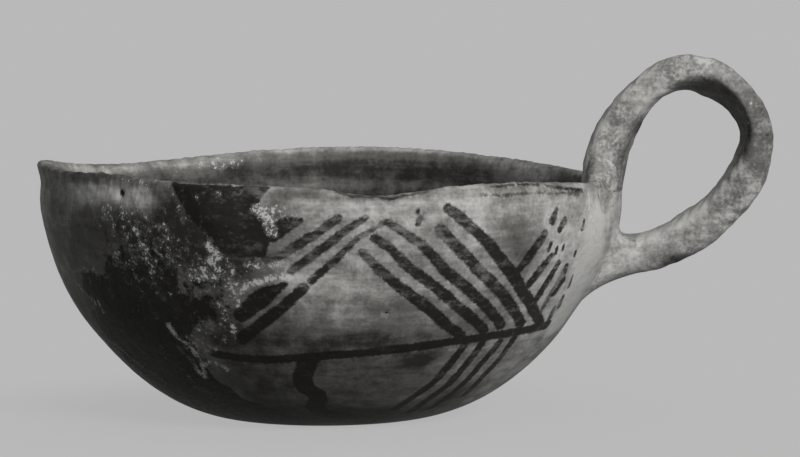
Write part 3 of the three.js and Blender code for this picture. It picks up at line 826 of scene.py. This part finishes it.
# %% Veins and patches
VEINS = [
    (0.5, 0.62, [(240.4, 60.5), (242.8, 55.6), (247, 51.9), (248.3, 50.4)]),
    (1.6, 0.9, [(247.5, 49), (249.5, 46.5), (247.4, 45.2)]),
    (0.7, 0.75, [(233.1, 55.9), (235, 53.7), (231, 50.2), (232.4, 48.4), (235.1, 44.9)]),
    (0.6, 0.7, [(228.4, 54.8), (231.2, 51.4), (233.2, 51.6)]),
    (0.7, 0.75, [(235.4, 52.5), (238.1, 53.3), (239.6, 52.3)]),
    (0.6, 0.7, [(231, 50.2), (234.5, 51.7), (235.6, 50.8)]),
    (0.6, 0.6, [(203.5, 59.6), (209, 59.2), (213.2, 59.4), (217.8, 57.4), (221, 56)]),
    (0.5, 0.7, [(222.6, 46), (223.7, 44.5), (226, 45.5)]),
    (0.8, 0.6, [(199, 38.3), (211.7, 40.5), (217.8, 41.3)]),
    (1, 0.7, [(202.9, 36.6), (206, 35.7), (205.4, 32.8), (208.2, 30.9)]),
    (0.8, 0.7, [(212.1, 33.9), (212.1, 30.3)]),
    (0.5, 0.6, [(218.6, 35.8), (219, 34.6)]),
    (0.7, 0.75, [(206.3, 20.8), (210.4, 16.5), (217.1, 11.9)]),
    (0.6, 0.7, [(204, 16.6), (208, 11.6), (214.4, 8.6)]),
    (1, 0.9, [(233.1, 28.5), (233.7, 25.5), (236.4, 23.5), (237.1, 20.5), (237.6, 18.8), (235.8, 14.8)]),
    (0.7, 0.8, [(237, 25.7), (239.1, 22.4), (242.1, 22)]),
    (0.7, 0.8, [(232.8, 22.5), (234.5, 18.9), (235, 16.1), (235.8, 14.8)]),
    (0.9, 0.85, [(237.3, 18.2), (240.8, 19.3), (243.9, 17.3)]),
    (0.6, 0.7, [(242.1, 22), (244.8, 24.1), (247.3, 26.3)]),
    (0.6, 0.65, [(230, 16.3), (230.2, 13.6), (232.2, 11.7), (234.1, 9.9)]),
    (0.6, 0.7, [(239, 28.9), (241.9, 28.6), (240.3, 27)]),
    (0.8, 0.75, [(249.6, 29.5), (249.3, 26.4)]),
    (1.2, 0.95, [(252.8, 37.8), (254.8, 40), (257.5, 40.6), (260.2, 42), (263.8, 41.7)]),
    (1.2, 0.9, [(330, 61), (330.5, 56.4), (333.5, 49.8), (339.5, 43.4)]),
    (2.4, 0.85, [(257.2, 58), (259.1, 55.8), (260.1, 52.9)]),
    (1.8, 0.75, [(257.7, 57), (259.8, 58), (262, 58.2)]),
    (0.5, 0.55, [(308.1, 59.4), (308.7, 57.4), (307.7, 56.7), (304.9, 55.7)]),
    (0.5, 0.5, [(325.1, 35), (327.4, 38.7), (329, 42.9)]),
    (0.3, 0.5, [(271.7, 44.9), (275.7, 44.7)]), (0.3, 0.5, [(276.1, 43.4), (280.6, 42.6)]),
    (0.3, 0.5, [(282.2, 48.7), (285.7, 48.3)]), (0.3, 0.55, [(284.7, 37.8), (290.1, 36.4), (293.7, 34.6)]),
    (0.8, 0.7, [(58, 47), (64, 41), (63, 34)]), (0.7, 0.7, [(120, 52), (114, 45)]),
]
LIME_PATCHES = [
    (262.6, 56.8, 3.2, 3, 0.5), (263.4, 53.8, 2.5, 2.4, 0.28), (260.4, 45.1, 3.4, 2.4, 0.54),
    (261.5, 48.6, 2.5, 1.6, 0.44), (250, 43, 5.5, 4, 0.6), (256, 44.4, 5, 2.4, 0.58),
    (245.6, 42, 5.5, 6.5, 0.58), (252, 38, 3.4, 6, 0.56), (249, 33.5, 2.4, 5.5, 0.56),
    (235, 52.5, 6, 4.5, 0.46), (246, 49.2, 3, 2, 0.4), (208.5, 31, 4.5, 6, 0.5),
    (238.5, 23.5, 6.5, 6, 0.48), (244, 28.5, 5, 4, 0.46), (241, 18.5, 5, 3, 0.42), (234, 46, 18, 18, 0.43),
    (229, 55, 16, 7, 0.48), (233, 62, 11, 1.8, 0.5), (246, 61, 12, 3, 0.3), (274, 47.2, 1.6, 1.6, 0.4),
    (281.5, 33, 1.6, 1.2, 0.5), (265.8, 34.6, 0.8, 0.8, 0.5), (278.8, 35.4, 0.8, 1, 0.45),
    (262, 29.4, 1.5, 0.8, 0.4), (336, 50, 7, 13, 0.46), (338.5, 27, 5, 3.6, 0.46), (60, 41, 7, 9, 0.4),
    (118, 50, 9, 8, 0.4), (150, 22, 12, 8, 0.34), (25, 56, 9, 5, 0.36),
]
INSIDE_LIME = [(118.0, 61.5, 14.0, 4.0, 0.5)]
VEIN_SOFTNESS, VEIN_SHARE = 2.0, 0.79
CRUST_LIFT = 0.1

lime = {}
for name, ring in rings.items():
    radius, height, bearing, in_bowl = places[name]
    distance, amount = nearest_stroke(on_round(radius, height, bearing), ~in_bowl, VEINS)
    veins = VEIN_SHARE * amount * (1 - ease(distance, -VEIN_SOFTNESS / 3, VEIN_SOFTNESS))
    outer_lime = np.max([veins] + ovals(bearing, height, LIME_PATCHES), 0)
    lime[name] = np.where(in_bowl, np.max(ovals(bearing, height, INSIDE_LIME), 0), outer_lime)
    lift = CRUST_LIFT * lime[name][:, None] * on_round(1, 0 * height, bearing)
    put_points(ring, points_of(ring) + lift)
    print(name, "points under veins", int((veins > 0.3).sum()))

# %% [markdown]
# ## Light and dark places
# The slip is not one tone. It is smoky below the painted line, where painted shade is added to the soot,
# and inside the bowl, blackened by fire over a large area low on the left, and rubbed pale beside the
# handle and along parts of the lip. Low on the wall, near the bottom edge, it is darkened as painted
# shade. These tones are added up as soft ovals and stored on the points as well, and the grit pits are
# darkened as painted shade. On the handle they follow the length of the strap and the side of it that
# faces into the loop, as painted shade under the crown and on the inner side of the low rise and of the
# foot, and as painted light on the edges of the rise and under the lower limb by the root.

# %% Tones of the wall
BLACK_AREA = [
    (207, 38), (211, 39.8), (218, 41), (223, 44.2), (227.5, 46.2), (232, 46.8), (235, 46), (239, 43),
    (242, 39), (245, 35), (245, 31), (241, 28), (238.5, 24), (239.5, 19), (237, 16), (229, 12), (231, 6),
    (205, 5), (203, 22), (205, 31),
]
BLACK_EDGE = 7.0
BLACK_PATCHES = [(251, 42.5, 7, 4.5, 0.58), (246, 36.0, 5, 8, 0.66), (256, 45.0, 5, 2.2, 0.52)]
# The lowest ovals, at bearings 200, 278 and 315, darken the wall near the bottom edge as painted shade.
# Those just below the painted line, at bearings 250, 275 and 278, are partly soot and partly painted shade.
WALL_TONES = [
    (224, 59.3, 11, 2, 0.36), (222, 62.8, 17, 1.5, -0.46), (212, 57, 6, 4, 0.06), (233, 52, 10, 5, -0.56),
    (241, 57, 6, 6, -0.46), (219, 49, 8, 7, -0.32), (246, 44, 9, 5, -0.48), (246, 50.5, 4, 5, -0.36),
    (238, 51, 9, 5, -0.32), (236, 47, 8, 3.6, -0.34), (248, 31, 6, 7, -0.5), (216, 58.8, 5, 2.2, 0.16),
    (233.8, 57.4, 2.4, 3.2, 0.36), (254, 45, 4, 3.5, -0.36), (260, 55.5, 4.5, 5.5, -0.36),
    (267, 61.8, 8, 1.6, -0.34), (265, 40.6, 4, 2.5, 0.14), (272, 38.5, 9, 4, 0.1), (286, 33.5, 9, 4, -0.21),
    (272, 25.6, 28, 3.4, -0.52), (260, 30.5, 8, 3, -0.12), (259, 37, 4.5, 5, -0.26),
    (273, 60, 11, 2.2, 0.1), (292.5, 19.9, 3.2, 1.4, -0.22), (306, 50, 4, 5, -0.14),
    (267, 36.5, 3.5, 3, -0.12), (277, 36.6, 8, 1.6, -0.1), (270, 42, 9, 5, 0.08), (304, 30, 11, 4, -0.14),
    (300, 42, 10, 7, -0.06), (311, 49, 4, 8, -0.3), (307, 59, 9, 3, 0.04), (316, 55, 3, 4, 0.1),
    (298, 62.2, 16, 1, -0.16), (275, 12, 30, 9, -0.48), (278, 20.5, 34, 2.6, -0.18), (250, 14, 11, 8, -0.3),
    (278, 3.6, 48, 3.4, -0.6), (200, 6, 12, 6, -0.3), (293.2, 19.6, 3.6, 2.2, -0.26),
    (315, 9, 8, 3.4, -0.4), (334, 34, 9, 9, 0.26), (339, 27, 6, 3.6, 0.55), (334.5, 50, 5, 8, 0.5),
    (345, 45, 9, 14, 0.16), (204, 46, 8, 14, -0.14), (252, 62.2, 14, 1.2, -0.1), (203, 18, 14, 12, -0.36),
    (200, 32, 8, 7, -0.2), (227.8, 59.4, 3, 2.6, 0.24),
]
LIP_TONES = [(262, 12, -0.06), (310, 18, -0.06), (279, 9, -0.20), (218, 20, -0.44), (183, 8, -0.10)]
INNER_LIP_TONES = [
    (200, 18, -0.12), (222, 14, -0.14), (125, 14, 0.04), (72, 8, 0.1), (90, 25, 0.1), (45, 20, -0.04),
]
INSIDE_TONES = [
    (152, 61.5, 20, 5, 0.34), (121, 61, 9, 5, 0.22), (99, 60, 6, 5, 0.04), (72, 57, 6, 4, -0.1),
    (66, 57, 16, 3, 0.12), (42, 59, 9, 4, 0.46), (78, 56, 16, 5, -0.08), (98, 53, 10, 2.5, 0.16),
    (82, 54, 42, 1.8, 0.28),
]
print("tones on the wall:", len(WALL_TONES), "and inside:", len(INSIDE_TONES))

# %% Layers of the wall
LIP_TURN, LIP_TOP = (-0.6, 0.3), (0.6, 1.7)
PIT_DEPTHS = (0.25, 0.45)
INSIDE_TONE, INSIDE_BAND, BAND_HEIGHTS = -0.56, 0.44, (58.5, 62.5)


def give_layers(piece, **layers):
    """Store amounts on the points of a piece, under names that the finish can read."""
    for layer_name, amount in layers.items():
        layer = piece.data.attributes.new(layer_name, "FLOAT", "POINT")
        spread = np.broadcast_to(amount, len(piece.data.vertices))
        layer.data.foreach_set("value", np.ascontiguousarray(spread, np.float32))


for name, ring in rings.items():
    radius, height, bearing, in_bowl = places[name]
    black_area = 1 - ease(inside_outline(bearing, height, BLACK_AREA), -BLACK_EDGE, BLACK_EDGE)
    # The grit pits are darkened as painted shade.
    pit_shade = ease(pit_depth(radius, height, bearing), *PIT_DEPTHS)
    black = np.max([black_area, pit_shade] + ovals(bearing, height, BLACK_PATCHES), 0)
    band = INSIDE_TONE + INSIDE_BAND * ease(height, *BAND_HEIGHTS)
    inside_tone = band + np.sum(ovals(bearing, height, INSIDE_TONES), 0)
    face_tone = np.where(in_bowl, inside_tone, np.sum(ovals(bearing, height, WALL_TONES), 0))
    outer_lip, inner_lip = (np.sum(bumps(bearing, tones), 0) for tones in (LIP_TONES, INNER_LIP_TONES))
    lip_tone = inner_lip + (outer_lip - inner_lip) * ease(radius - LIP_MIDDLE, *LIP_TURN)
    top = ease(height - LIP_HEIGHT, *LIP_TOP)
    give_layers(ring, paint=paint[name][0], paint_wear=paint[name][1], black=np.where(in_bowl, 0, black),
                lime=lime[name], tone=face_tone * (1 - top) + lip_tone * top)
    print(name, "tones from", face_tone.min().round(2), "to", face_tone.max().round(2))

# %% Tones of the handle
RISING, LOW_RISE, HIGH_RISE = (0.34, 0.28), (0.22, 0.15), (0.17, 0.22)
CROWN_START, CROWN_END, FALLING, NEAR_ROOT = (0.30, 0.33), (0.63, 0.53), (0.55, 0.66), (0.84, 0.92)
FACING_IN, TURNED_IN, TURNED_OUT, NEARLY_IN = (0.4, 0.75), (0.0, 0.7), (0.1, 0.8), (0.2, 0.9)
# Painted shade under the crown and on the inner side of the low rise and of the foot; painted light on the
# outer side of the rise, high on its inner side and under the lower limb by the root.
UNDERSIDE_SHADE, UPPER_FACE_TONE, EDGE_LIGHT, RISE_SHADING, FOOT_TONE = -0.16, 0.30, 0.24, -0.30, -0.02
# The last tone along the strap, at share 0.93, lightens the underside by the root as painted light.
HANDLE_TONES = [(0.06, 0.035, -0.06), (0.125, 0.02, 0.10), (0.17, 0.025, -0.18), (0.33, 0.05, -0.14),
                (0.56, 0.08, -0.30), (0.855, 0.02, -0.06), (0.79, 0.05, 0.06), (0.93, 0.08, 0.14)]
FOOT_HEIGHTS, FOOT_REACH, INNER_SIDE = (56, 63), (73, 80), (-3.5, -6.5)
TONGUE_TONE, ROOT_TONE = 0.16, 0.14
STAIN_PLACE, STAIN_SIZE, STAIN_TONE, STAIN_BLACK = (90.4, 41.2), (5.0, 2.3), -0.50, 0.7
HANDLE_LIME = 0.28


def strap_tone():
    """Tones by the share of the strap's length and by the side that faces into the loop, with painted shade
    under the crown and on the inner side of the low rise, and painted light on the outer side of the rise,
    high on its inner side and under the lower limb by the root.
    """
    inward = np.cos(strap_angle)

    def along(span):
        return ease(strap_share, *span)

    # Painted shade under the crown; painted light on both edges; painted shade and light on the two sides of
    # the low rise.
    underside = ease(inward, *FACING_IN) * along(CROWN_START) * along(CROWN_END)
    upper_face = ease(inward, *TURNED_IN) * along(FALLING)
    outer_edge_light = ease(-inward, *TURNED_OUT) * np.maximum(along(RISING), along(NEAR_ROOT))
    inner_edge_light = ease(inward, *NEARLY_IN) * along(RISING) * along(HIGH_RISE)
    return (hills(strap_share, HANDLE_TONES) + UNDERSIDE_SHADE * underside + UPPER_FACE_TONE * upper_face
            + EDGE_LIGHT * np.maximum(outer_edge_light, inner_edge_light) + RISE_SHADING * inward * along(LOW_RISE))


def foot_tone():
    """Tones of the smear on the lip: its tongue on the wall, its rise, darkened as painted shade on the side
    towards the loop, and its side inside the bowl.
    """
    x, y, z = points_of(lip_smear).T
    rising = ease(z, *FOOT_HEIGHTS)
    inner_side = ease(np.hypot(x - MOUTH_OFFSET, y) - LIP_MIDDLE, *INNER_SIDE)
    return (FOOT_TONE + RISE_SHADING * rising * ease(x, *FOOT_REACH) + TONGUE_TONE * (1 - rising)
            + INSIDE_TONE * inner_side)


def stain_on(piece):
    x, _, z = points_of(piece).T
    return hill(x, STAIN_PLACE[0], STAIN_SIZE[0]) * hill(z, STAIN_PLACE[1], STAIN_SIZE[1])


toned_pieces = [(strap, strap_tone() + STAIN_TONE * stain_on(strap)), (lip_smear, foot_tone()),
                (wall_smear, ROOT_TONE), (pad, INSIDE_TONE)]
for piece, tone in toned_pieces:
    give_layers(piece, paint=BARE, paint_wear=0, black=STAIN_BLACK * stain_on(piece),
                lime=0 if piece is pad else HANDLE_LIME, tone=tone)
    print(piece.name, "mean tone", round(float(np.mean(tone)), 2))

# %% [markdown]
# ## Shader sums
# A finish is a long sum of noises and masks. Wired by hand, it would be dozens of small nodes. Here one
# small class holds a socket, so that a sum of two sockets in Python adds a Math node, and any other node
# comes from one method.

# %% Socket class
class Wire:
    """One output socket of a node tree, which can be used in sums."""

    def __init__(self, tree, socket=None):
        self.tree, self.socket = tree, socket

    def node(self, kind, settings=None, values=None, out=0):
        made = self.tree.nodes.new(kind)
        for key, value in (settings or {}).items():
            setattr(made, key, value)
        for key, value in (values or {}).items():
            if isinstance(value, Wire):
                self.tree.links.new(value.socket, made.inputs[key])
            else:
                made.inputs[key].default_value = value
        return Wire(self.tree, made.outputs[out]) if made.outputs else None

    def math(self, operation, first, second):
        return self.node("ShaderNodeMath", {"operation": operation}, {0: first, 1: second})

    def __add__(self, other):
        return self.math("ADD", self, other)

    __radd__ = __add__

    def __sub__(self, other):
        return self.math("SUBTRACT", self, other)

    def __mul__(self, other):
        return self.math("MULTIPLY", self, other)

    __rmul__ = __mul__

    def step(self, low, high):
        """0 below low and 1 above high, with a soft rise between; low may be the higher one."""
        return self.node("ShaderNodeMapRange", {"interpolation_type": "SMOOTHSTEP"},
                         {"Value": self, "From Min": low, "From Max": high})

    def blend(self, first, second):
        """A colour between two, by this amount."""
        return self.node("ShaderNodeMix", {"data_type": "RGBA"}, {0: self, 6: first, 7: second}, out=2)


print("a socket can:", [name for name in vars(Wire) if callable(getattr(Wire, name))])

# %% [markdown]
# ## Painted slip
# The slip is a thin wash of pale clay, wiped on sideways, so it has soft clouds, fine grain and level
# streaks. The paint sinks into it with ragged edges and is rubbed thin in places. Burning blackens it,
# the same black fills the grit pits as painted shade, and lime sits on top as a rough white crust, as a
# thin haze and as dense specks. Everything reads Object coordinates and the amounts on the points, so
# the same finish runs on from ring to ring without a seam.

# %% Finish
PAINT_COLOUR = (0.008, 0.0073, 0.0058, 1)
BLACK_COLOUR = (0.006, 0.0054, 0.0042, 1)
LIME_COLOUR = (0.60, 0.596, 0.575, 1)
PALE_COLOUR = (0.55, 0.545, 0.524, 1)
WALL_COLOUR, HANDLE_COLOUR = (0.16, 0.157, 0.147, 1), (0.16, 0.157, 0.149, 1)
DEEP_COLOUR = (0.024, 0.0228, 0.0205, 1)
STREAK_SHAPE, SMUDGE_SHAPE = (1, 1, 7), (1, 1, 2.4)
PLAIN_TONE, MIDDLE_RANGE, PALE_RANGE, FLAKE_RANGE = 0.68, (0.0, 0.6), (0.45, 1.05), (0.0, 0.14)
RAGGED_EDGE, RUBBED_RANGE, UNRUBBED = 0.32, 0.36, 0.44
THIN_PAINT, PAINT_GAIN = 0.42, 0.54
SCORCH_AND_PIT_SHADE_RANGE, SCORCH_AND_PIT_SHADE_START, SCORCH_AND_PIT_SHADE_COVER = (0.3, 0.72), (0.0, 0.25), 0.96
HAZE_RANGE, HAZE_COVER = (0.28, 0.95), 0.4
SPECK_RANGE, SPECK_COVER = (0.54, 0.72), 0.9
BUMP_STRENGTH, BUMP_DEPTH = 0.5, 0.6 * MM
CLAY_ROUGHNESS, LIME_ROUGHNESS, CLAY_SHINE = 0.68, 0.22, 0.1


def slip_finish(name, middle, speckle, patchy):
    """A slip with its middle colour, the strength of its fine specks and that of its pale flakes."""
    finish = bpy.data.materials.new(name)
    finish.use_nodes = True
    tree = finish.node_tree
    tree.nodes.clear()
    start = Wire(tree)
    place = start.node("ShaderNodeTexCoord", out="Object")
    level = start.node("ShaderNodeMapping", values={"Vector": place, "Scale": STREAK_SHAPE})
    smeared = start.node("ShaderNodeMapping", values={"Vector": place, "Scale": SMUDGE_SHAPE})

    def noise(size, detail, roughness=0.55, vector=place):
        """Noise about zero, whose main features are so many millimetres across."""
        return start.node("ShaderNodeTexNoise", values={
            "Vector": vector, "Scale": 1 / (size * MM), "Detail": detail, "Roughness": roughness}) - 0.5

    def layer(layer_name):
        return start.node("ShaderNodeAttribute", {"attribute_name": layer_name}, out="Fac")

    cloud, blotch, grain = noise(17, 4), noise(4.2, 6, 0.65), noise(0.9, 3)
    wipe, smudge = noise(11, 5, 0.6, level), noise(4.5, 6, 0.68, smeared)
    crust, speck, flake = noise(2.4, 9, 0.76), noise(0.7, 2), noise(8, 3)

    tone = PLAIN_TONE + layer("tone") + 0.6 * cloud + 0.65 * blotch + speckle * grain + 0.45 * wipe
    tone = tone + patchy * (flake + 0.3 * grain).step(*FLAKE_RANGE)
    dark_to_middle = tone.step(*MIDDLE_RANGE).blend(DEEP_COLOUR, middle)
    slip = tone.step(*PALE_RANGE).blend(dark_to_middle, PALE_COLOUR)

    edge = layer("paint") + 0.9 * blotch + grain
    rubbed = 2.4 * smudge + 0.5 * blotch + 0.7 * grain - layer("paint_wear") + UNRUBBED
    cover = THIN_PAINT + PAINT_GAIN * rubbed.step(-RUBBED_RANGE, RUBBED_RANGE)
    covered = edge.step(RAGGED_EDGE, -RAGGED_EDGE) * cover
    painted = covered.blend(slip, PAINT_COLOUR)

    # The black layer holds the fire-blackened area and patches, the stain on the handle and painted shade in
    # the grit pits.
    scorch_and_pit_shade = layer("black")
    burnt_and_pit_shade = (scorch_and_pit_shade + 1.5 * cloud + 1.9 * blotch + 0.9 * grain).step(*SCORCH_AND_PIT_SHADE_RANGE)
    darkened = (burnt_and_pit_shade * scorch_and_pit_shade.step(*SCORCH_AND_PIT_SHADE_START) * SCORCH_AND_PIT_SHADE_COVER).blend(painted, BLACK_COLOUR)

    crusted = layer("lime") + 1.8 * crust
    haze = crusted.step(*HAZE_RANGE) * HAZE_COVER
    specks = (crusted + speck).step(*SPECK_RANGE) * SPECK_COVER
    limed = start.math("MAXIMUM", haze, specks)
    colour = limed.blend(darkened, LIME_COLOUR)

    relief = 0.5 * blotch + 0.3 * grain + 0.3 * wipe + 0.6 * limed + 0.05 * covered
    bump = start.node("ShaderNodeBump", values={
        "Height": relief, "Strength": BUMP_STRENGTH, "Distance": BUMP_DEPTH})
    shader = start.node("ShaderNodeBsdfPrincipled", values={
        "Base Color": colour, "Roughness": CLAY_ROUGHNESS + LIME_ROUGHNESS * limed + 0.4 * grain,
        "Normal": bump, "Specular IOR Level": CLAY_SHINE})
    start.node("ShaderNodeOutputMaterial", values={"Surface": shader})
    print(name, "nodes", len(tree.nodes))
    return finish


finishes = {"painted_slip": slip_finish("painted_slip", WALL_COLOUR, speckle=0.3, patchy=0.0),
            "handle_slip": slip_finish("handle_slip", HANDLE_COLOUR, speckle=0.5, patchy=0.15)}

# %% [markdown]
# ## Putting the pieces in place of the solids
# Each finished piece rides on the one body of the part, stands for its solid and takes the finish that
# the part's record names for it. Smooth shading by angle keeps the edges of the joints crisp.

# %% Pieces and solids
SMOOTH_ANGLE = math.radians(40)
stands_for = [
    (rings["bowl_base"], "base_cup", "painted_slip"), (rings["lower_course"], "wall_coil_1", "painted_slip"),
    (rings["upper_course"], "wall_coil_2", "painted_slip"), (rings["bowl_rim"], "rim_coil", "painted_slip"),
    (strap, "handle_strap", "handle_slip"), (lip_smear, "upper_root_luting", "handle_slip"),
    (wall_smear, "lower_root_luting", "handle_slip"), (pad, "tenon_clinch_pad", "painted_slip"),
]
for piece, node, slot in stands_for:
    select_only(piece)
    bpy.ops.object.shade_smooth_by_angle(angle=SMOOTH_ANGLE)
    piece.data.materials.clear()
    piece.data.materials.append(finishes[slot])
    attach(piece, "root")
    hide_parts(node)
print("pieces:", {piece.name: node for piece, node, _ in stands_for})

# %% [markdown]
# ## Floor and light
# One large soft lamp stands to the right of the camera and above it, and a dim sky fills the shadows a
# little. The underside of the bowl stays dark, so the floor throws little light back. Seen by the camera
# the floor and the sky have the same pale grey, and the floor keeps the bowl's soft shadow.

# %% Floor and sky
PALE_GREY = (0.485, 0.485, 0.485, 1)
FLOOR_SIZE = 6.0
FLOOR_SHOWN = (0.80, 0.80, 0.80, 1)
FLOOR_GIVES_BACK = (0.10, 0.10, 0.10, 1)
SHADOW_SHARE, SHADOW_NEAR, SHADOW_FAR = 0.12, 0.05, 0.12
SKY_FILL = (0.21, 0.21, 0.21, 1)

floor = started("floor", bpy.ops.mesh.primitive_plane_add, size=FLOOR_SIZE)
floor_finish = bpy.data.materials.new("floor")
floor_finish.use_nodes = True
floor_finish.node_tree.nodes.clear()
wire = Wire(floor_finish.node_tree)


def seen(tree_wire):
    """1 for a ray that shows the background to the eye, straight or by way of a shine, else 0."""
    path = tree_wire.node("ShaderNodeLightPath", out="Is Camera Ray")
    glossy = Wire(path.tree, path.socket.node.outputs["Is Glossy Ray"])
    through = Wire(path.tree, path.socket.node.outputs["Is Transmission Ray"])
    return (path + glossy + through).step(0, 1)


spot = wire.node("ShaderNodeTexCoord", out="Object")
from_bowl = wire.node("ShaderNodeVectorMath", {"operation": "LENGTH"}, {0: spot}, out="Value")
plain = wire.node("ShaderNodeEmission", values={"Color": PALE_GREY, "Strength": 1.0})
shaded = wire.node("ShaderNodeBsdfDiffuse", values={"Color": FLOOR_SHOWN})
dull = wire.node("ShaderNodeBsdfDiffuse", values={"Color": FLOOR_GIVES_BACK})
share = SHADOW_SHARE * from_bowl.step(SHADOW_FAR, SHADOW_NEAR)
shown = wire.node("ShaderNodeMixShader", values={0: share, 1: plain, 2: shaded})
either = wire.node("ShaderNodeMixShader", values={0: seen(wire), 1: dull, 2: shown})
wire.node("ShaderNodeOutputMaterial", values={"Surface": either})
floor.data.materials.append(floor_finish)

world = bpy.data.worlds.new("sky")
bpy.context.scene.world = world
world.use_nodes = True
world.node_tree.nodes.clear()
sky = Wire(world.node_tree)
background = sky.node("ShaderNodeBackground", values={"Color": seen(sky).blend(SKY_FILL, PALE_GREY)})
sky.node("ShaderNodeOutputWorld", values={"Surface": background})
print("floor", FLOOR_SIZE, "m, sky fill", SKY_FILL[0])

# %% Lamp
LAMP_WAY = Vector((0.46, -0.81, 0.36)).normalized()
LAMP_DISTANCE, LAMP_SIZE, LAMP_POWER = 1.4, 0.5, 17.5

bpy.ops.object.light_add(type="AREA", location=VIEW_TARGET + LAMP_WAY * LAMP_DISTANCE,
                         rotation=LAMP_WAY.to_track_quat("Z", "Y").to_euler())
lamp = bpy.context.object
lamp.data.size = LAMP_SIZE
lamp.data.energy = LAMP_POWER
print("lamp at", [round(value, 2) for value in lamp.location])

# %% [markdown]
